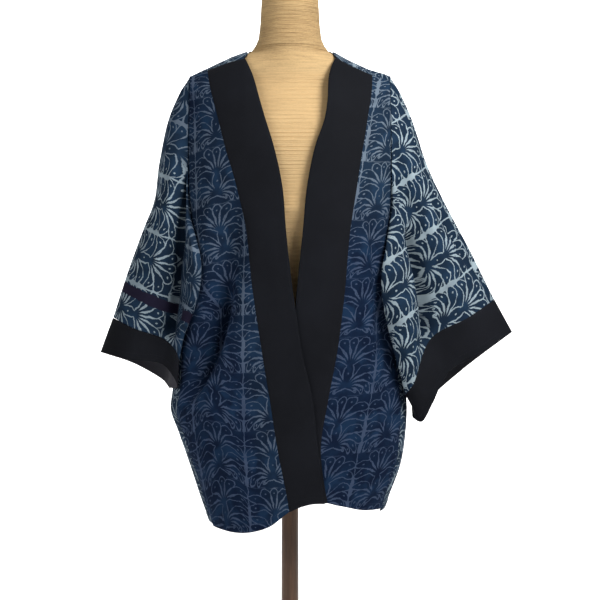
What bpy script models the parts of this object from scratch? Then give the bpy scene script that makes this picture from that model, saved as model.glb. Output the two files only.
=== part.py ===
"""Kimono jacket of block-printed cotton on a limbless dress form with a turned stand.

Metres, +Z up. The garment faces -Y and the wearer's left is +X. The origin is the middle of the
base's underside. A drop is the distance down from the neck point, where shoulder meets neck.
Every cloth piece is a wall along a worked-out surface, and tables are in millimetres.
"""
import math
from collections import namedtuple

import bmesh
import bpy
import numpy as np

MM = 0.001
RIGHT, LEFT = -1, 1

# Driving dimensions
NECK_POINT_HEIGHT = 1.42        # height of the neck point above the floor
NECK_HALF_WIDTH = 0.085         # half of the neck opening, from side to side
NECK_BACK_DEPTH = 0.078         # the neck opening behind the shoulder line
SHOULDER_START = 0.082          # the shoulder line slopes from here outwards
SHOULDER_START_DROP = -0.0095
SHOULDER_SLOPE = 0.47
SHOULDER_FADE = (0.03, 0.35)    # drops between which the rows turn level
ARMHOLE_HALF = 0.188            # from the middle to the armhole
UNDERARM_DROP = 0.335
FRONT_SEAM_BLEND = (0.305, 0.365)    # drops between which armhole turns into side seam
BACK_SEAM_BLEND = (0.331, 0.371)
SECTION_POWER = 2.3             # roundness of the body's plan section
FRONT_ROUND = 0.11              # how fast the front rounds off below the shoulder line
FRONT_ROUND_POWER = 0.6
BACK_ROUND = 0.05
BACK_ROUND_POWER = 0.55
SEAM_SHARE = 0.93               # side seam, as a share of the half width, on the front
LAP_LIFT = 0.007                # the right front lies this far over the left one
LAP_SPAN = (0.11, 0.03)         # where the lift starts and is full, from the middle
LAP_DROPS = (0.2, 0.42)         # drops where the lift starts and is full
PRINT_CLOTH = 0.0016            # wall of the printed cotton
BAND_CLOTH = 0.0026             # wall of the folded bands and cuffs
SEAM_GAP = 0.0003
FOLDED_SEAM_GAP = 0.0007        # where a fold crosses the seam
FRONT_SEAM_RADIUS = 0.2         # turns a gap at a seam into an angle round the body
SIDE_SEAM_RADIUS = 0.15
REST_GAP = 0.0006               # between the form's shoulders and the cloth
ARMHOLE_GAP = 0.0014
CUFF_SEAM_GAP = {RIGHT: 0.0028, LEFT: 0.0008}    # wider where the slack folds at the seam
ROLL_START_LIFT = 0.004         # the sleeve's roll starts this far before the front panel
BACK_BAND_WIDTH = 0.012
BACK_BAND_START = 0.0012        # above the middle of the back panel's wall
BACK_BAND_RISE = 1.7            # how steeply the band stands up against its lean to the neck
BACK_BAND_TAPER = 0.5           # the share of its width that the band loses at its ends
POLE_RADIUS = 0.016
BASE_RADIUS = 0.2
BASE_THICKNESS = 0.024
BASE_BOSS_RADIUS = 0.048
EDGE_ROUND = 0.004
COLLAR_RADIUS = 0.027           # the pole's collars under the form and on the base
COLLAR_HEIGHT = 0.02
COLLAR_TAPER = 0.01

# The body's section at each drop: half widths, and depths before and behind the shoulder line
Body = namedtuple("Body", "drop left right front back")
BODY = (
    Body(0, 200, 200, 148, 118),
    Body(150, 200, 200, 148, 119),
    Body(335, 197, 196, 146, 120),
    Body(450, 199, 206, 144, 120),
    Body(560, 209, 216, 141, 120),
    Body(630, 219, 222, 139, 119),
    Body(668, 221, 225, 138, 118),
    Body(705, 219, 212, 137, 116),
    Body(770, 209, 189, 135, 113),
    Body(830, 187, 169, 132, 108),
    Body(880, 170, 151, 130, 104),
)

# The front bands' edges at each drop below the shoulder line, from the middle, + to the left
Band = namedtuple("Band", "drop right_outer right_inner left_inner left_outer")
BANDS = (
    Band(0, -156, -87, 86, 155),
    Band(50, -146, -69, 74, 151),
    Band(100, -134, -55, 66, 143),
    Band(180, -115, -30, 46, 131),
    Band(250, -95, -14, 33, 121),
    Band(330, -78, -7, 25, 109),
    Band(450, -63, 7, 13, 98),
    Band(550, -48, 22, 4, 85),
    Band(630, -35, 40, -7, 70),
    Band(720, -21, 50, -20, 56),
    Band(830, 0, 64, -10, 68),
    Band(880, 8, 70, -6, 72),
)

# The hem's drop across the body, from the right side to the left side
Hem = namedtuple("Hem", "across drop")
FRONT_HEM = (Hem(-200, 878), Hem(-150, 877), Hem(-70, 874), Hem(-35, 861), Hem(0, 834),
             Hem(64, 820), Hem(92, 828), Hem(160, 843), Hem(200, 846))
BACK_HEM = (Hem(-200, 878), Hem(-100, 868), Hem(0, 862), Hem(100, 856), Hem(200, 846))

# Soft folds of the body: a bowed line from top to low end, its half width and its height
Fold = namedtuple("Fold", "top_across top_drop low_across low_drop bow width height")
FRONT_FOLDS = (
    Fold(-108, 255, -203, 665, 32, 26, -28),
    Fold(-140, 240, -196, 560, 10, 22, 4),
    Fold(-84, 300, -150, 700, 22, 24, 6),
    Fold(-118, 640, -96, 905, 0, 17, 5),
    Fold(-60, 560, -52, 905, 0, 20, -4),
    Fold(150, 210, 190, 640, -12, 12, -8),
    Fold(134, 260, 150, 700, 4, 15, 5),
    Fold(108, 560, 96, 905, 0, 14, -4),
    Fold(140, 600, 128, 905, 0, 14, 4),
)
BACK_FOLDS = (
    Fold(-128, 120, -122, 920, -6, 24, 9),
    Fold(-78, 200, -70, 920, 4, 20, -9),
    Fold(-30, 240, -22, 920, 0, 22, 8),
    Fold(22, 180, 34, 920, -4, 20, -8),
    Fold(72, 220, 84, 920, 4, 22, 9),
    Fold(122, 120, 128, 920, 6, 22, -8),
)

# Rows of the grid, as drops below the shoulder line
LOWER_ROWS = (158, 200, 242, 280, 314, 345, 380, 418, 458, 498, 538, 574, 608, 640, 672, 705,
              740, 775, 810, 845, 880)
FRONT_ROWS = (2, 7, 16, 31, 54, 84, 120) + LOWER_ROWS
BACK_ROWS = (-1.5, -0.5, 0, 0.6, 2.5, 8, 18, 33, 54, 84, 120) + LOWER_ROWS
FRONT_COLUMNS = {RIGHT: 15, LEFT: 10}
BAND_COLUMNS = 5
SHOULDER_COLUMNS = 7
NECK_COLUMNS = 9
NECK_COLUMN_EASE = 0.008        # angle from the neck's corner to the columns beside it
HEM_SHAPE_STARTS = 0.5          # drop from which the rows lean to the hem's line
ROW_REACH = 0.88

# The sleeves' rows from armhole to cuff seam. over: the overarm line; valley and roll: the
# hollow and the hanging roll of slack cloth before the underarm; crease: where the roll turns
# under; under: the underarm line. Each has a distance from the middle, a drop and a depth.
# corner is how far from the middle the cloth passes between the roll and the underarm.
Sleeve = namedtuple("Sleeve", "over valley roll crease corner under front back")
SLEEVE_LEFT = (
    Sleeve((228, 122), (213, 300, -58), (197, 332, -84), (176, 365, -88), 201, (204, 385), -56, 54),
    Sleeve((262, 212), (228, 350, -57), (199, 388, -105), (168, 412, -99), 205, (208, 435), -60, 56),
    Sleeve((298, 287), (243, 403, -56), (205, 440, -114), (171, 462, -100), 209, (212, 485), -60, 56),
    Sleeve((336, 358), (254, 457, -54), (211, 492, -114), (182, 514, -97), 214, (217, 535), -56, 52),
    Sleeve((362, 410), (259, 500, -52), (218, 552, -108), (198, 575, -90), 220, (223, 585), -52, 46),
    Sleeve((388, 462), (263, 530, -50), (226, 612, -88), (214, 632, -72), 228, (231, 634), -44, 38),
)
SLEEVE_RIGHT = (
    Sleeve((226, 118), (200, 290, -60), (184, 326, -92), (171, 346, -93), 194, (203, 375), -58, 56),
    Sleeve((247, 197), (201, 335, -62), (174, 370, -116), (161, 388, -110), 196, (208, 415), -64, 62),
    Sleeve((257, 272), (202, 385, -60), (173, 414, -120), (163, 434, -112), 197, (213, 455), -68, 66),
    Sleeve((279, 330), (204, 437, -60), (179, 456, -116), (173, 472, -106), 202, (219, 497), -68, 70),
    Sleeve((308, 410), (213, 487, -62), (197, 505, -92), (194, 524, -86), 215, (223, 548), -64, 72),
    Sleeve((335, 494), (232, 531, -58), (206, 556, -82), (205, 573, -74), 222, (227, 596), -58, 68),
)
CUFF_HEM_LEFT = Sleeve((421, 522), (296, 592, -48), (264, 650, -62), (246, 684, -54),
                       232, (234, 690), -40, 34)
CUFF_HEM_RIGHT = Sleeve((359, 560), (238, 576, -60), (214, 598, -78), (207, 618, -70),
                        224, (229, 638), -62, 70)
FRONT_SHARE = 0.45              # the front's control point, as a share from over to valley
BACK_SHARES = (0.18, 0.58)      # the back's control points, as shares from under to over
BACK_LOW_DEPTH = 0.85           # the lower one's depth, as a share of the row's
CORNER_DEPTH = 0.56             # the corner's depth, as a share of the crease's
ARMHOLE_FRONT_DROPS = (0.1, 0.2, 0.26, 0.294, 0.32)
ARMHOLE_BACK_DROPS = (0.26, 0.12)
SLEEVE_ROWS = 16
CUFF_ROWS = 4
SPAN_POINTS = 3                 # mesh points from one control point round a sleeve to the next

# The form's plan sections
Section = namedtuple("Section", "drop half front back power")
FORM = (
    Section(-120, 48, 48, 48, 2),
    Section(-118, 52.5, 52, 52, 2),
    Section(-114, 54, 54, 54, 2),
    Section(-60, 57, 56, 56, 2),
    Section(-34, 60, 58, 58, 2),
    Section(-20, 66, 60, 60, 1.95),
    Section(50, 177, 67, 74, 1.72),
    Section(80, 178, 83, 88, 1.95),
    Section(130, 172, 105, 101, 2.1),
    Section(200, 166, 119, 106, 2.2),
    Section(290, 160, 126, 103, 2.2),
    Section(360, 143, 112, 94, 2.2),
    Section(430, 129, 98, 86, 2.2),
    Section(500, 137, 102, 92, 2.2),
    Section(580, 155, 110, 104, 2.3),
    Section(660, 168, 112, 108, 2.3),
    Section(740, 166, 106, 101, 2.3),
    Section(792, 158, 99, 94, 2.3),
    Section(800, 150, 92, 88, 2.3),
)
FORM_SHOULDER_DROPS = (-9, -4, 2, 9, 17, 26, 36)
FORM_SHOULDER_FRONT = (56, 62)
FORM_SHOULDER_BACK = (60, 69)
FORM_SHOULDER_POWER = (1.45, 1.62)
FORM_NECK_EASE = 5
FORM_SEGMENTS = 40
BASE_SEGMENTS = 64
POLE_SEGMENTS = 24


def smooth(knots, values, at):
    """Smooth cubic curve through the values, with rising knots."""
    knots = np.asarray(knots, float)
    values = np.asarray(values, float)
    at = np.clip(np.asarray(at, float), knots[0], knots[-1])
    slopes = np.gradient(values, knots, axis=0)
    i = np.clip(np.searchsorted(knots, at, side="right") - 1, 0, len(knots) - 2)
    gap = knots[i + 1] - knots[i]
    t = (at - knots[i]) / gap
    extra = (1,) * (values.ndim - 1)
    t = t.reshape(t.shape + extra)
    gap = gap.reshape(gap.shape + extra)
    return ((1 + 2 * t) * (1 - t) ** 2 * values[i] + t * (1 - t) ** 2 * gap * slopes[i]
            + t * t * (3 - 2 * t) * values[i + 1] - t * t * (1 - t) * gap * slopes[i + 1])


def column(table, name, at):
    """One named column of a table, in metres, at the given place of its first column."""
    return smooth([row[0] * MM for row in table], [getattr(row, name) * MM for row in table], at)


def step(start, end, value):
    """Smooth step from 0 at start to 1 at end."""
    t = np.clip((value - start) / (end - start), 0, 1)
    return t * t * (3 - 2 * t)


def shoulder_drop(across):
    """Drop of the shoulder line at a distance from the middle."""
    return SHOULDER_START_DROP + SHOULDER_SLOPE * np.maximum(np.abs(across) - SHOULDER_START, 0)


def front_round(drop):
    return (1 - np.exp(-np.abs(drop) / FRONT_ROUND)) ** FRONT_ROUND_POWER


def back_round(drop):
    return (1 - np.exp(-np.abs(drop) / BACK_ROUND)) ** BACK_ROUND_POWER


def folds(table, across, drop):
    """Height of all folds of a table at a place of the cloth."""
    height = np.zeros(np.broadcast(across, drop).shape)
    for fold in table:
        t = (drop - fold.top_drop * MM) / ((fold.low_drop - fold.top_drop) * MM)
        ends = step(0, 0.3, t) * (1 - step(0.7, 1, t))
        t = np.clip(t, 0, 1)
        middle = fold.top_across + (fold.low_across - fold.top_across) * t
        middle = (middle + fold.bow * 4 * t * (1 - t)) * MM
        height = height + fold.height * MM * ends * np.exp(
            -((across - middle) / (fold.width * MM)) ** 2)
    return height


def half_width(side, drop):
    return column(BODY, "left" if side == LEFT else "right", drop)


def front_angle(across, drop):
    """Angle on the body's section of a place on the front; 0 is the middle, + is left."""
    half = np.where(np.asarray(across) > 0, half_width(LEFT, drop), half_width(RIGHT, drop))
    share = np.minimum(np.abs(across) / half, 1)
    return np.sign(across) * np.arcsin(share ** (SECTION_POWER / 2))


def body_surface(angle, drop, over_front=False):
    """Point of the cloth at an angle round the body and a drop below the shoulder line.

    over_front puts the back panel's first rows before the shoulder line.
    """
    angle, drop = np.broadcast_arrays(angle, drop)
    sine, cosine = np.sin(angle), np.cos(angle)
    half = np.where(sine > 0, half_width(LEFT, drop), half_width(RIGHT, drop))
    front = column(BODY, "front", drop) * front_round(drop)
    back = column(BODY, "back", drop) * back_round(drop)
    depth = np.where((cosine > 0) | over_front, front, back)
    flat = 2 / SECTION_POWER
    x = half * np.sign(sine) * np.abs(sine) ** flat
    y = depth * np.sign(cosine) * -np.abs(cosine) ** flat
    y = np.where(over_front, -np.abs(y), y)
    out_x = np.sign(sine) * np.abs(sine) ** (2 - flat) / half
    out_y = -np.sign(cosine) * np.abs(cosine) ** (2 - flat) / np.maximum(depth, 0.02)
    length = np.hypot(out_x, out_y)
    facing = step(0, 0.35, np.abs(cosine))
    height = np.where(cosine > 0, folds(FRONT_FOLDS, x, drop), folds(BACK_FOLDS, x, drop)) * facing
    level = shoulder_drop(x) * (1 - step(*SHOULDER_FADE, drop))
    return np.stack([x + out_x / length * height, y + out_y / length * height,
                     NECK_POINT_HEIGHT - drop - level], axis=-1)


def lean_to_hem(hem, across, drop):
    """Drop of a row that leans towards the hem's own line."""
    return drop + (column(hem, "drop", across) - ROW_REACH) * step(
        HEM_SHAPE_STARTS, ROW_REACH, drop)


def lap(side, across, drop):
    """How far the right front stands over the left one."""
    if side == LEFT:
        return 0 * across
    return LAP_LIFT * step(-LAP_SPAN[0], -LAP_SPAN[1], across) * step(*LAP_DROPS, drop)


def wall(name, grid, thickness, material, ring=False):
    """Closed solid of cloth along a grid of points; ring joins its last column to its first."""
    rows, columns = grid.shape[:2]
    if ring:
        around = (np.roll(grid, -1, axis=1) - np.roll(grid, 1, axis=1)) / 2
    else:
        around = np.gradient(grid, axis=1)
    normal = np.cross(np.gradient(grid, axis=0), around)
    normal /= np.linalg.norm(normal, axis=2, keepdims=True)
    mesh = bmesh.new()
    faces = [[[mesh.verts.new(p) for p in row] for row in grid + normal * thickness * half]
             for half in (0.5, -0.5)]
    last = columns if ring else columns - 1
    for layer, flip in ((faces[0], False), (faces[1], True)):
        for r in range(rows - 1):
            for c in range(last):
                d = (c + 1) % columns
                quad = [layer[r][c], layer[r][d], layer[r + 1][d], layer[r + 1][c]]
                mesh.faces.new(quad[::-1] if flip else quad)
    edge_rows = [(0, c, 0, (c + 1) % columns) for c in range(last)]
    edge_rows += [(rows - 1, (c + 1) % columns, rows - 1, c) for c in range(last)]
    if not ring:
        edge_rows += [(r + 1, 0, r, 0) for r in range(rows - 1)]
        edge_rows += [(r, columns - 1, r + 1, columns - 1) for r in range(rows - 1)]
    outer, inner = faces
    for r, c, r2, c2 in edge_rows:
        mesh.faces.new([outer[r2][c2], outer[r][c], inner[r][c], inner[r2][c2]])
    return finish(name, mesh, material)


def finish(name, mesh, material):
    """Object from a closed bmesh, with its faces pointing out."""
    bmesh.ops.recalc_face_normals(mesh, faces=mesh.faces)
    if mesh.calc_volume(signed=True) < 0:
        bmesh.ops.reverse_faces(mesh, faces=mesh.faces)
    data = bpy.data.meshes.new(name)
    mesh.to_mesh(data)
    mesh.free()
    data.shade_smooth()
    data.materials.append(material)
    made = bpy.data.objects.new(name, data)
    bpy.context.scene.collection.objects.link(made)
    return made


def rings_solid(name, rings, material):
    """Closed solid through plan rings, capped flat at both ends."""
    mesh = bmesh.new()
    loops = [[mesh.verts.new(p) for p in ring] for ring in rings]
    count = len(loops[0])
    for low, high in zip(loops, loops[1:]):
        for i in range(count):
            j = (i + 1) % count
            mesh.faces.new([low[i], low[j], high[j], high[i]])
    for loop in (loops[0], loops[-1]):
        mesh.faces.new(loop)
    return finish(name, mesh, material)


def material(name, colour, roughness, metallic=0.0):
    made = bpy.data.materials.new(name)
    made.use_nodes = True
    shader = made.node_tree.nodes["Principled BSDF"]
    shader.inputs["Base Color"].default_value = (*colour, 1)
    shader.inputs["Roughness"].default_value = roughness
    shader.inputs["Metallic"].default_value = metallic
    made.diffuse_color = (*colour, 1)
    return made


def front_edge(side, drop):
    """Angle of a front panel's outer edge: the armhole above, the side seam below."""
    armhole = np.full(np.shape(drop), ARMHOLE_HALF)
    seam = half_width(side, drop) * SEAM_SHARE
    below = step(*FRONT_SEAM_BLEND, drop)
    return front_angle(side * (armhole + (seam - armhole) * below), drop)


def band_edge(side, edge, drop):
    name = ("left_" if side == LEFT else "right_") + edge
    return column(BANDS, name, drop)


def front_grid(side, start, end, columns):
    """Grid between two lines down the front, each a function of drop that gives an angle."""
    rows = np.array(FRONT_ROWS)[:, None] * MM
    share = np.linspace(0, 1, columns)[None, :]
    drop = rows + 0 * share
    for _ in range(3):
        angle = start(drop) + (end(drop) - start(drop)) * share
        across = body_surface(angle, drop)[..., 0]
        drop = lean_to_hem(FRONT_HEM, across, rows)
    grid = body_surface(angle, drop)
    grid[..., 1] -= lap(side, across, drop)
    return grid


def front_panel(side, material):
    gap = FOLDED_SEAM_GAP / 2 / FRONT_SEAM_RADIUS

    def at_band(drop):
        return front_angle(band_edge(side, "outer", drop), drop) + side * gap

    def at_side(drop):
        return front_edge(side, drop) - side * gap

    grid = front_grid(side, at_band, at_side, FRONT_COLUMNS[side])
    return wall("front_panel_" + side_name(side), grid, PRINT_CLOTH, material)


def front_band(side, material):
    gap = FOLDED_SEAM_GAP / 2 / FRONT_SEAM_RADIUS

    def at_inner(drop):
        return front_angle(band_edge(side, "inner", drop), drop)

    def at_outer(drop):
        return front_angle(band_edge(side, "outer", drop), drop) - side * gap

    grid = front_grid(side, at_inner, at_outer, BAND_COLUMNS)
    return wall("front_band_" + side_name(side), grid, BAND_CLOTH, material)


def side_name(side):
    return "left" if side == LEFT else "right"


def back_edge(side, drop):
    """Angle of the back panel's edge, from the front's middle round that side."""
    armhole = math.pi - np.abs(front_angle(side * ARMHOLE_HALF, drop))
    seam = np.abs(front_edge(side, drop)) + FOLDED_SEAM_GAP / 2 / SIDE_SEAM_RADIUS
    below = step(*BACK_SEAM_BLEND, drop)
    return armhole + (seam - armhole) * below


def neckline_drop(across):
    """Drop, below the shoulder line, of the back panel's neck edge."""
    depth = NECK_BACK_DEPTH * np.sqrt(1 - np.minimum(np.abs(across) / NECK_HALF_WIDTH, 1) ** 2)
    width = half_width(LEFT, 0)
    share = (1 - (np.abs(across) / width) ** SECTION_POWER) ** (1 / SECTION_POWER)
    ratio = depth / (BODY[0].back * MM * share)
    return -BACK_ROUND * np.log(1 - ratio ** (1 / BACK_ROUND_POWER))


def back_grid():
    """Grid of the back panel, over the shoulders from the seams before them to the hem."""
    top_left = back_edge(LEFT, 0.0)
    neck = math.pi - abs(front_angle(NECK_HALF_WIDTH, 0.0))
    full, ease = 2 * math.pi, NECK_COLUMN_EASE
    top = np.concatenate([
        np.linspace(top_left, neck - ease, SHOULDER_COLUMNS),
        np.linspace(neck + ease, full - neck - ease, NECK_COLUMNS),
        np.linspace(full - neck + ease, full - top_left, SHOULDER_COLUMNS)])
    share = ((top - top_left) / (full - 2 * top_left))[None, :]
    power = FRONT_ROUND_POWER
    rows = np.array(BACK_ROWS)[:, None] * MM
    reach = np.sign(rows) * np.abs(rows) ** power
    first, last = reach[0], reach[BACK_ROWS.index(LOWER_ROWS[0])]
    across = body_surface(top, 0.0)[..., 0][None, :]
    start = np.where(np.abs(across) < NECK_HALF_WIDTH, neckline_drop(across) ** power, first)
    reach = np.where(reach < last, start + (reach - first) * (last - start) / (last - first),
                     reach + 0 * share)
    rows = np.sign(reach) * np.abs(reach) ** (1 / power)
    drop = np.abs(rows)
    for _ in range(3):
        left, right = back_edge(LEFT, drop), full - back_edge(RIGHT, drop)
        angle = left + (right - left) * share
        across = body_surface(angle, drop)[..., 0]
        drop = lean_to_hem(BACK_HEM, across, np.abs(rows))
    return body_surface(angle, drop, over_front=rows < 0)


def back_neck_band(grid, material):
    """Narrow strip that stands on the back panel's neck edge, between the front bands."""
    edge = grid[0, SHOULDER_COLUMNS - 1:SHOULDER_COLUMNS + NECK_COLUMNS + 1]
    lean = np.stack([-edge[:, 0] / NECK_HALF_WIDTH, -edge[:, 1] / NECK_BACK_DEPTH,
                     np.full(len(edge), BACK_BAND_RISE)], axis=1)
    lean /= np.linalg.norm(lean, axis=1, keepdims=True)
    taper = BACK_BAND_TAPER * np.linspace(-1, 1, len(edge))[:, None] ** 2
    width = BACK_BAND_WIDTH * (1 - taper)
    rows = [edge + lean * (BACK_BAND_START + width * t) for t in (0, 0.5, 1)]
    return wall("back_neck_band", np.array(rows), BAND_CLOTH, material)


def sleeve_row(side, row):
    """The nine control points round a sleeve at one row of its table."""
    over, valley, roll, crease, under = (np.array(line) * MM for line in (
        row.over, row.valley, row.roll, row.crease, row.under))
    front, back = row.front * MM, row.back * MM

    def between(a, b, share):
        return a[:2] + (b[:2] - a[:2]) * share

    points = [
        (*over, 0),
        (*between(over, valley, FRONT_SHARE), front),
        valley,
        roll,
        crease,
        (row.corner * MM, (under[1] + crease[1]) / 2, crease[2] * CORNER_DEPTH),
        (*under, 0),
        (*between(under, over, BACK_SHARES[0]), back * BACK_LOW_DEPTH),
        (*between(under, over, BACK_SHARES[1]), back),
    ]
    return [(side * across, depth, NECK_POINT_HEIGHT - drop) for across, drop, depth in points]


def armhole_row(side):
    """The nine control points of a sleeve where it is sewn to the body."""
    out = np.array([side * ARMHOLE_GAP, 0, 0])
    front = [body_surface(front_edge(side, d), d) for d in ARMHOLE_FRONT_DROPS]
    back = [body_surface(side * back_edge(side, d), d) for d in ARMHOLE_BACK_DROPS]
    top = body_surface(side * back_edge(side, 0.0), 0.0)
    for point in front[1:]:
        point[1] -= ROLL_START_LIFT
    back[0][1] += ROLL_START_LIFT
    under = np.array([side * half_width(side, UNDERARM_DROP), 0,
                      NECK_POINT_HEIGHT - UNDERARM_DROP - 4 * MM])
    return [point + out for point in (top, *front, under, *back)]


def loop_through(controls, per_span):
    """Closed smooth loops through rows of control points, per_span points from one to the next."""
    loops = []
    for points in controls:
        wrapped = np.concatenate([points[-2:], points, points[:3]])
        knots = np.concatenate([[0], np.cumsum(np.linalg.norm(np.diff(wrapped, axis=0), axis=1)
                                               ** 0.5)])
        at = [knots[i + 2] + (knots[i + 3] - knots[i + 2]) * t / per_span
              for i in range(len(points)) for t in range(per_span)]
        loops.append(smooth(knots, wrapped, at))
    return np.array(loops)


def sleeve_controls(side):
    table = SLEEVE_LEFT if side == LEFT else SLEEVE_RIGHT
    return np.array([armhole_row(side)] + [sleeve_row(side, row) for row in table])


def sleeve(side, material):
    controls = sleeve_controls(side)
    rows = np.linspace(0, len(controls) - 1, SLEEVE_ROWS)
    grid = loop_through(smooth(range(len(controls)), controls, rows), SPAN_POINTS)
    return wall("sleeve_" + side_name(side), grid, PRINT_CLOTH, material, ring=True)


def cuff(side, material):
    """Black ring from the sleeve's last row to the hem of the cuff."""
    seam = sleeve_controls(side)[-1]
    hem = np.array(sleeve_row(side, CUFF_HEM_LEFT if side == LEFT else CUFF_HEM_RIGHT))
    length = np.linalg.norm(hem - seam, axis=1).mean()
    rows = np.linspace(CUFF_SEAM_GAP[side] / length, 1, CUFF_ROWS)[:, None, None]
    grid = loop_through(seam + (hem - seam) * rows, SPAN_POINTS)
    return wall("cuff_" + side_name(side), grid, BAND_CLOTH, material, ring=True)


def form_sections():
    """The form's table with its shoulder rings, which follow the cloth's shoulder line."""
    sections = list(FORM)
    clearance = (PRINT_CLOTH / 2 + REST_GAP) * math.hypot(1, SHOULDER_SLOPE)
    for i, drop in enumerate(FORM_SHOULDER_DROPS):
        t = i / (len(FORM_SHOULDER_DROPS) - 1)
        half = (SHOULDER_START + (drop * MM - SHOULDER_START_DROP - clearance)
                / SHOULDER_SLOPE) / MM - FORM_NECK_EASE * (1 - t)
        front, back, power = (a + (b - a) * t for a, b in (
            FORM_SHOULDER_FRONT, FORM_SHOULDER_BACK, FORM_SHOULDER_POWER))
        sections.append(Section(drop, half, front, back, power))
    return sorted(sections)


def form_torso(material):
    rings = []
    for section in form_sections():
        ring = []
        for i in range(FORM_SEGMENTS):
            angle = 2 * math.pi * i / FORM_SEGMENTS
            sine, cosine = math.sin(angle), math.cos(angle)
            flat = 2 / section.power
            depth = section.front if cosine > 0 else section.back
            ring.append((section.half * MM * math.copysign(abs(sine) ** flat, sine),
                         -depth * MM * math.copysign(abs(cosine) ** flat, cosine),
                         NECK_POINT_HEIGHT - section.drop * MM))
        rings.append(ring)
    return rings_solid("form_torso", rings, material)


def turned(name, profile, segments, material):
    """Turned solid from a profile of (radius, height) pairs, low to high."""
    rings = [[(radius * math.cos(2 * math.pi * i / segments),
               radius * math.sin(2 * math.pi * i / segments), height)
              for i in range(segments)] for radius, height in profile]
    return rings_solid(name, rings, material)


def stand_profiles():
    """Profiles of the base and of the pole that joins it to the form."""
    edge = EDGE_ROUND
    base = [(BASE_RADIUS - edge / 2, 0), (BASE_RADIUS, edge), (BASE_RADIUS, BASE_THICKNESS - edge),
            (BASE_RADIUS - edge, BASE_THICKNESS), (BASE_BOSS_RADIUS, BASE_THICKNESS + edge)]
    low = BASE_THICKNESS + edge + SEAM_GAP
    high = NECK_POINT_HEIGHT - FORM[-1].drop * MM - SEAM_GAP
    collar, taper = COLLAR_HEIGHT, COLLAR_HEIGHT + COLLAR_TAPER
    pole = [(COLLAR_RADIUS, low), (COLLAR_RADIUS, low + collar), (POLE_RADIUS, low + taper),
            (POLE_RADIUS, high - taper), (COLLAR_RADIUS, high - collar), (COLLAR_RADIUS, high)]
    return base, pole


def main():
    for old in list(bpy.data.objects):
        bpy.data.objects.remove(old)
    front_print = material("front_print", (0.05, 0.09, 0.17), 0.85)
    sleeve_print = material("sleeve_print", (0.12, 0.19, 0.30), 0.85)
    black = material("black_crepe", (0.012, 0.013, 0.018), 0.9)
    twine = material("twine", (0.55, 0.42, 0.26), 0.9)
    wood = material("dark_wood", (0.10, 0.06, 0.04), 0.5)
    for side in (RIGHT, LEFT):
        front_panel(side, front_print)
        front_band(side, black)
        sleeve(side, sleeve_print)
        cuff(side, black)
    back = back_grid()
    wall("back_panel", back, PRINT_CLOTH, sleeve_print)
    back_neck_band(back, black)
    form_torso(twine)
    base, pole = stand_profiles()
    turned("stand_base", base, BASE_SEGMENTS, wood)
    turned("stand_pole", pole, POLE_SEGMENTS, wood)


main()
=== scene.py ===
"""Kimono jacket of block-printed cotton on a twine-wound dress form.

Metres, +Z up. The garment faces -Y and the wearer's left is +X. A drop is the distance down from
the neck point, where shoulder meets neck. Tables of sizes are in millimetres. Each cloth piece is
a thin shell with a UV map in metres of flat cloth, and the print's fans point up that map.
"""
import math
from collections import namedtuple

import bpy
import numpy as np
from bpy.props import FloatProperty, FloatVectorProperty, IntProperty, PointerProperty
from bpy.types import Operator, Panel, PropertyGroup
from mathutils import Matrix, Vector


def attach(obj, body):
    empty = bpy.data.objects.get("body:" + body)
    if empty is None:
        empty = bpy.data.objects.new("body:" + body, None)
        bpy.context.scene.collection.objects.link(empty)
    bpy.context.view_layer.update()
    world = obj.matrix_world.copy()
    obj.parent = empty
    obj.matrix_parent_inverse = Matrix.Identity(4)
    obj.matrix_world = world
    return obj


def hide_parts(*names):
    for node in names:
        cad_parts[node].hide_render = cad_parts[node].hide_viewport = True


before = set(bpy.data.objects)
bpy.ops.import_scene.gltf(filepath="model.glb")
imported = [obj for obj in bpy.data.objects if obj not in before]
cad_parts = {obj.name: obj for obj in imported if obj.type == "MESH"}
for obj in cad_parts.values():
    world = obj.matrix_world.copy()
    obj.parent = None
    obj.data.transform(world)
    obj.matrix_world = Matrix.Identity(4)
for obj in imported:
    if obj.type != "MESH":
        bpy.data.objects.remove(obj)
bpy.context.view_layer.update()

bl_info = {
    "name": "Kimono Jacket",
    "version": (1, 0, 0),
    "blender": (4, 5, 0),
    "location": "3D View > Sidebar > Kimono",
    "description": "Builds a block-printed kimono jacket on a twine-wound dress form",
    "category": "Object",
}

MM = 0.001
RIGHT, LEFT = -1, 1
SIDE_NAMES = {RIGHT: "right", LEFT: "left"}

# Driving dimensions of the cut
NECK_POINT_HEIGHT = 1.42
NECK_HALF_WIDTH = 0.080
NECK_BACK_DEPTH = 0.078
SHOULDER_START = 0.082
SHOULDER_START_DROP = -0.0095
SHOULDER_SLOPE = 0.47
SHOULDER_BOW = {                # each side's bow over that line: distances from the middle and rises
    LEFT: ((80, 0), (112, -2.5), (150, -2), (178, 3.5), (190, 4)),
    RIGHT: ((80, 0), (112, 3.5)),
}
SHOULDER_FADE = (0.03, 0.35)
ARMHOLE_HALF = 0.188
UNDERARM_DROP = 0.335
SECTION_POWER = 2.3
FACING_FADE = (0, 0.35)         # the folds fade out round the sides, by this cosine
LEAST_DEPTH = 0.02              # of a section, where its normals are worked out
FRONT_ROUND = 0.11
FRONT_ROUND_POWER = 0.6
BACK_ROUND = 0.05
BACK_ROUND_POWER = 0.55
SEAM_SHARE = 0.93
LAP_LIFT = 0.007
LAP_SPAN = (-0.11, -0.03)
LAP_DROPS = (0.2, 0.42)
FRONT_SEAM_BLEND = (0.305, 0.365)
BACK_SEAM_BLEND = (0.331, 0.371)
SEAM_GAP = 0.0005
SEAM_RADIUS = 0.18
SEAM_TURN = SEAM_GAP / 2 / SEAM_RADIUS  # half of the gap, as an angle round the body
ARMHOLE_GAP = 0.0014
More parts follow.
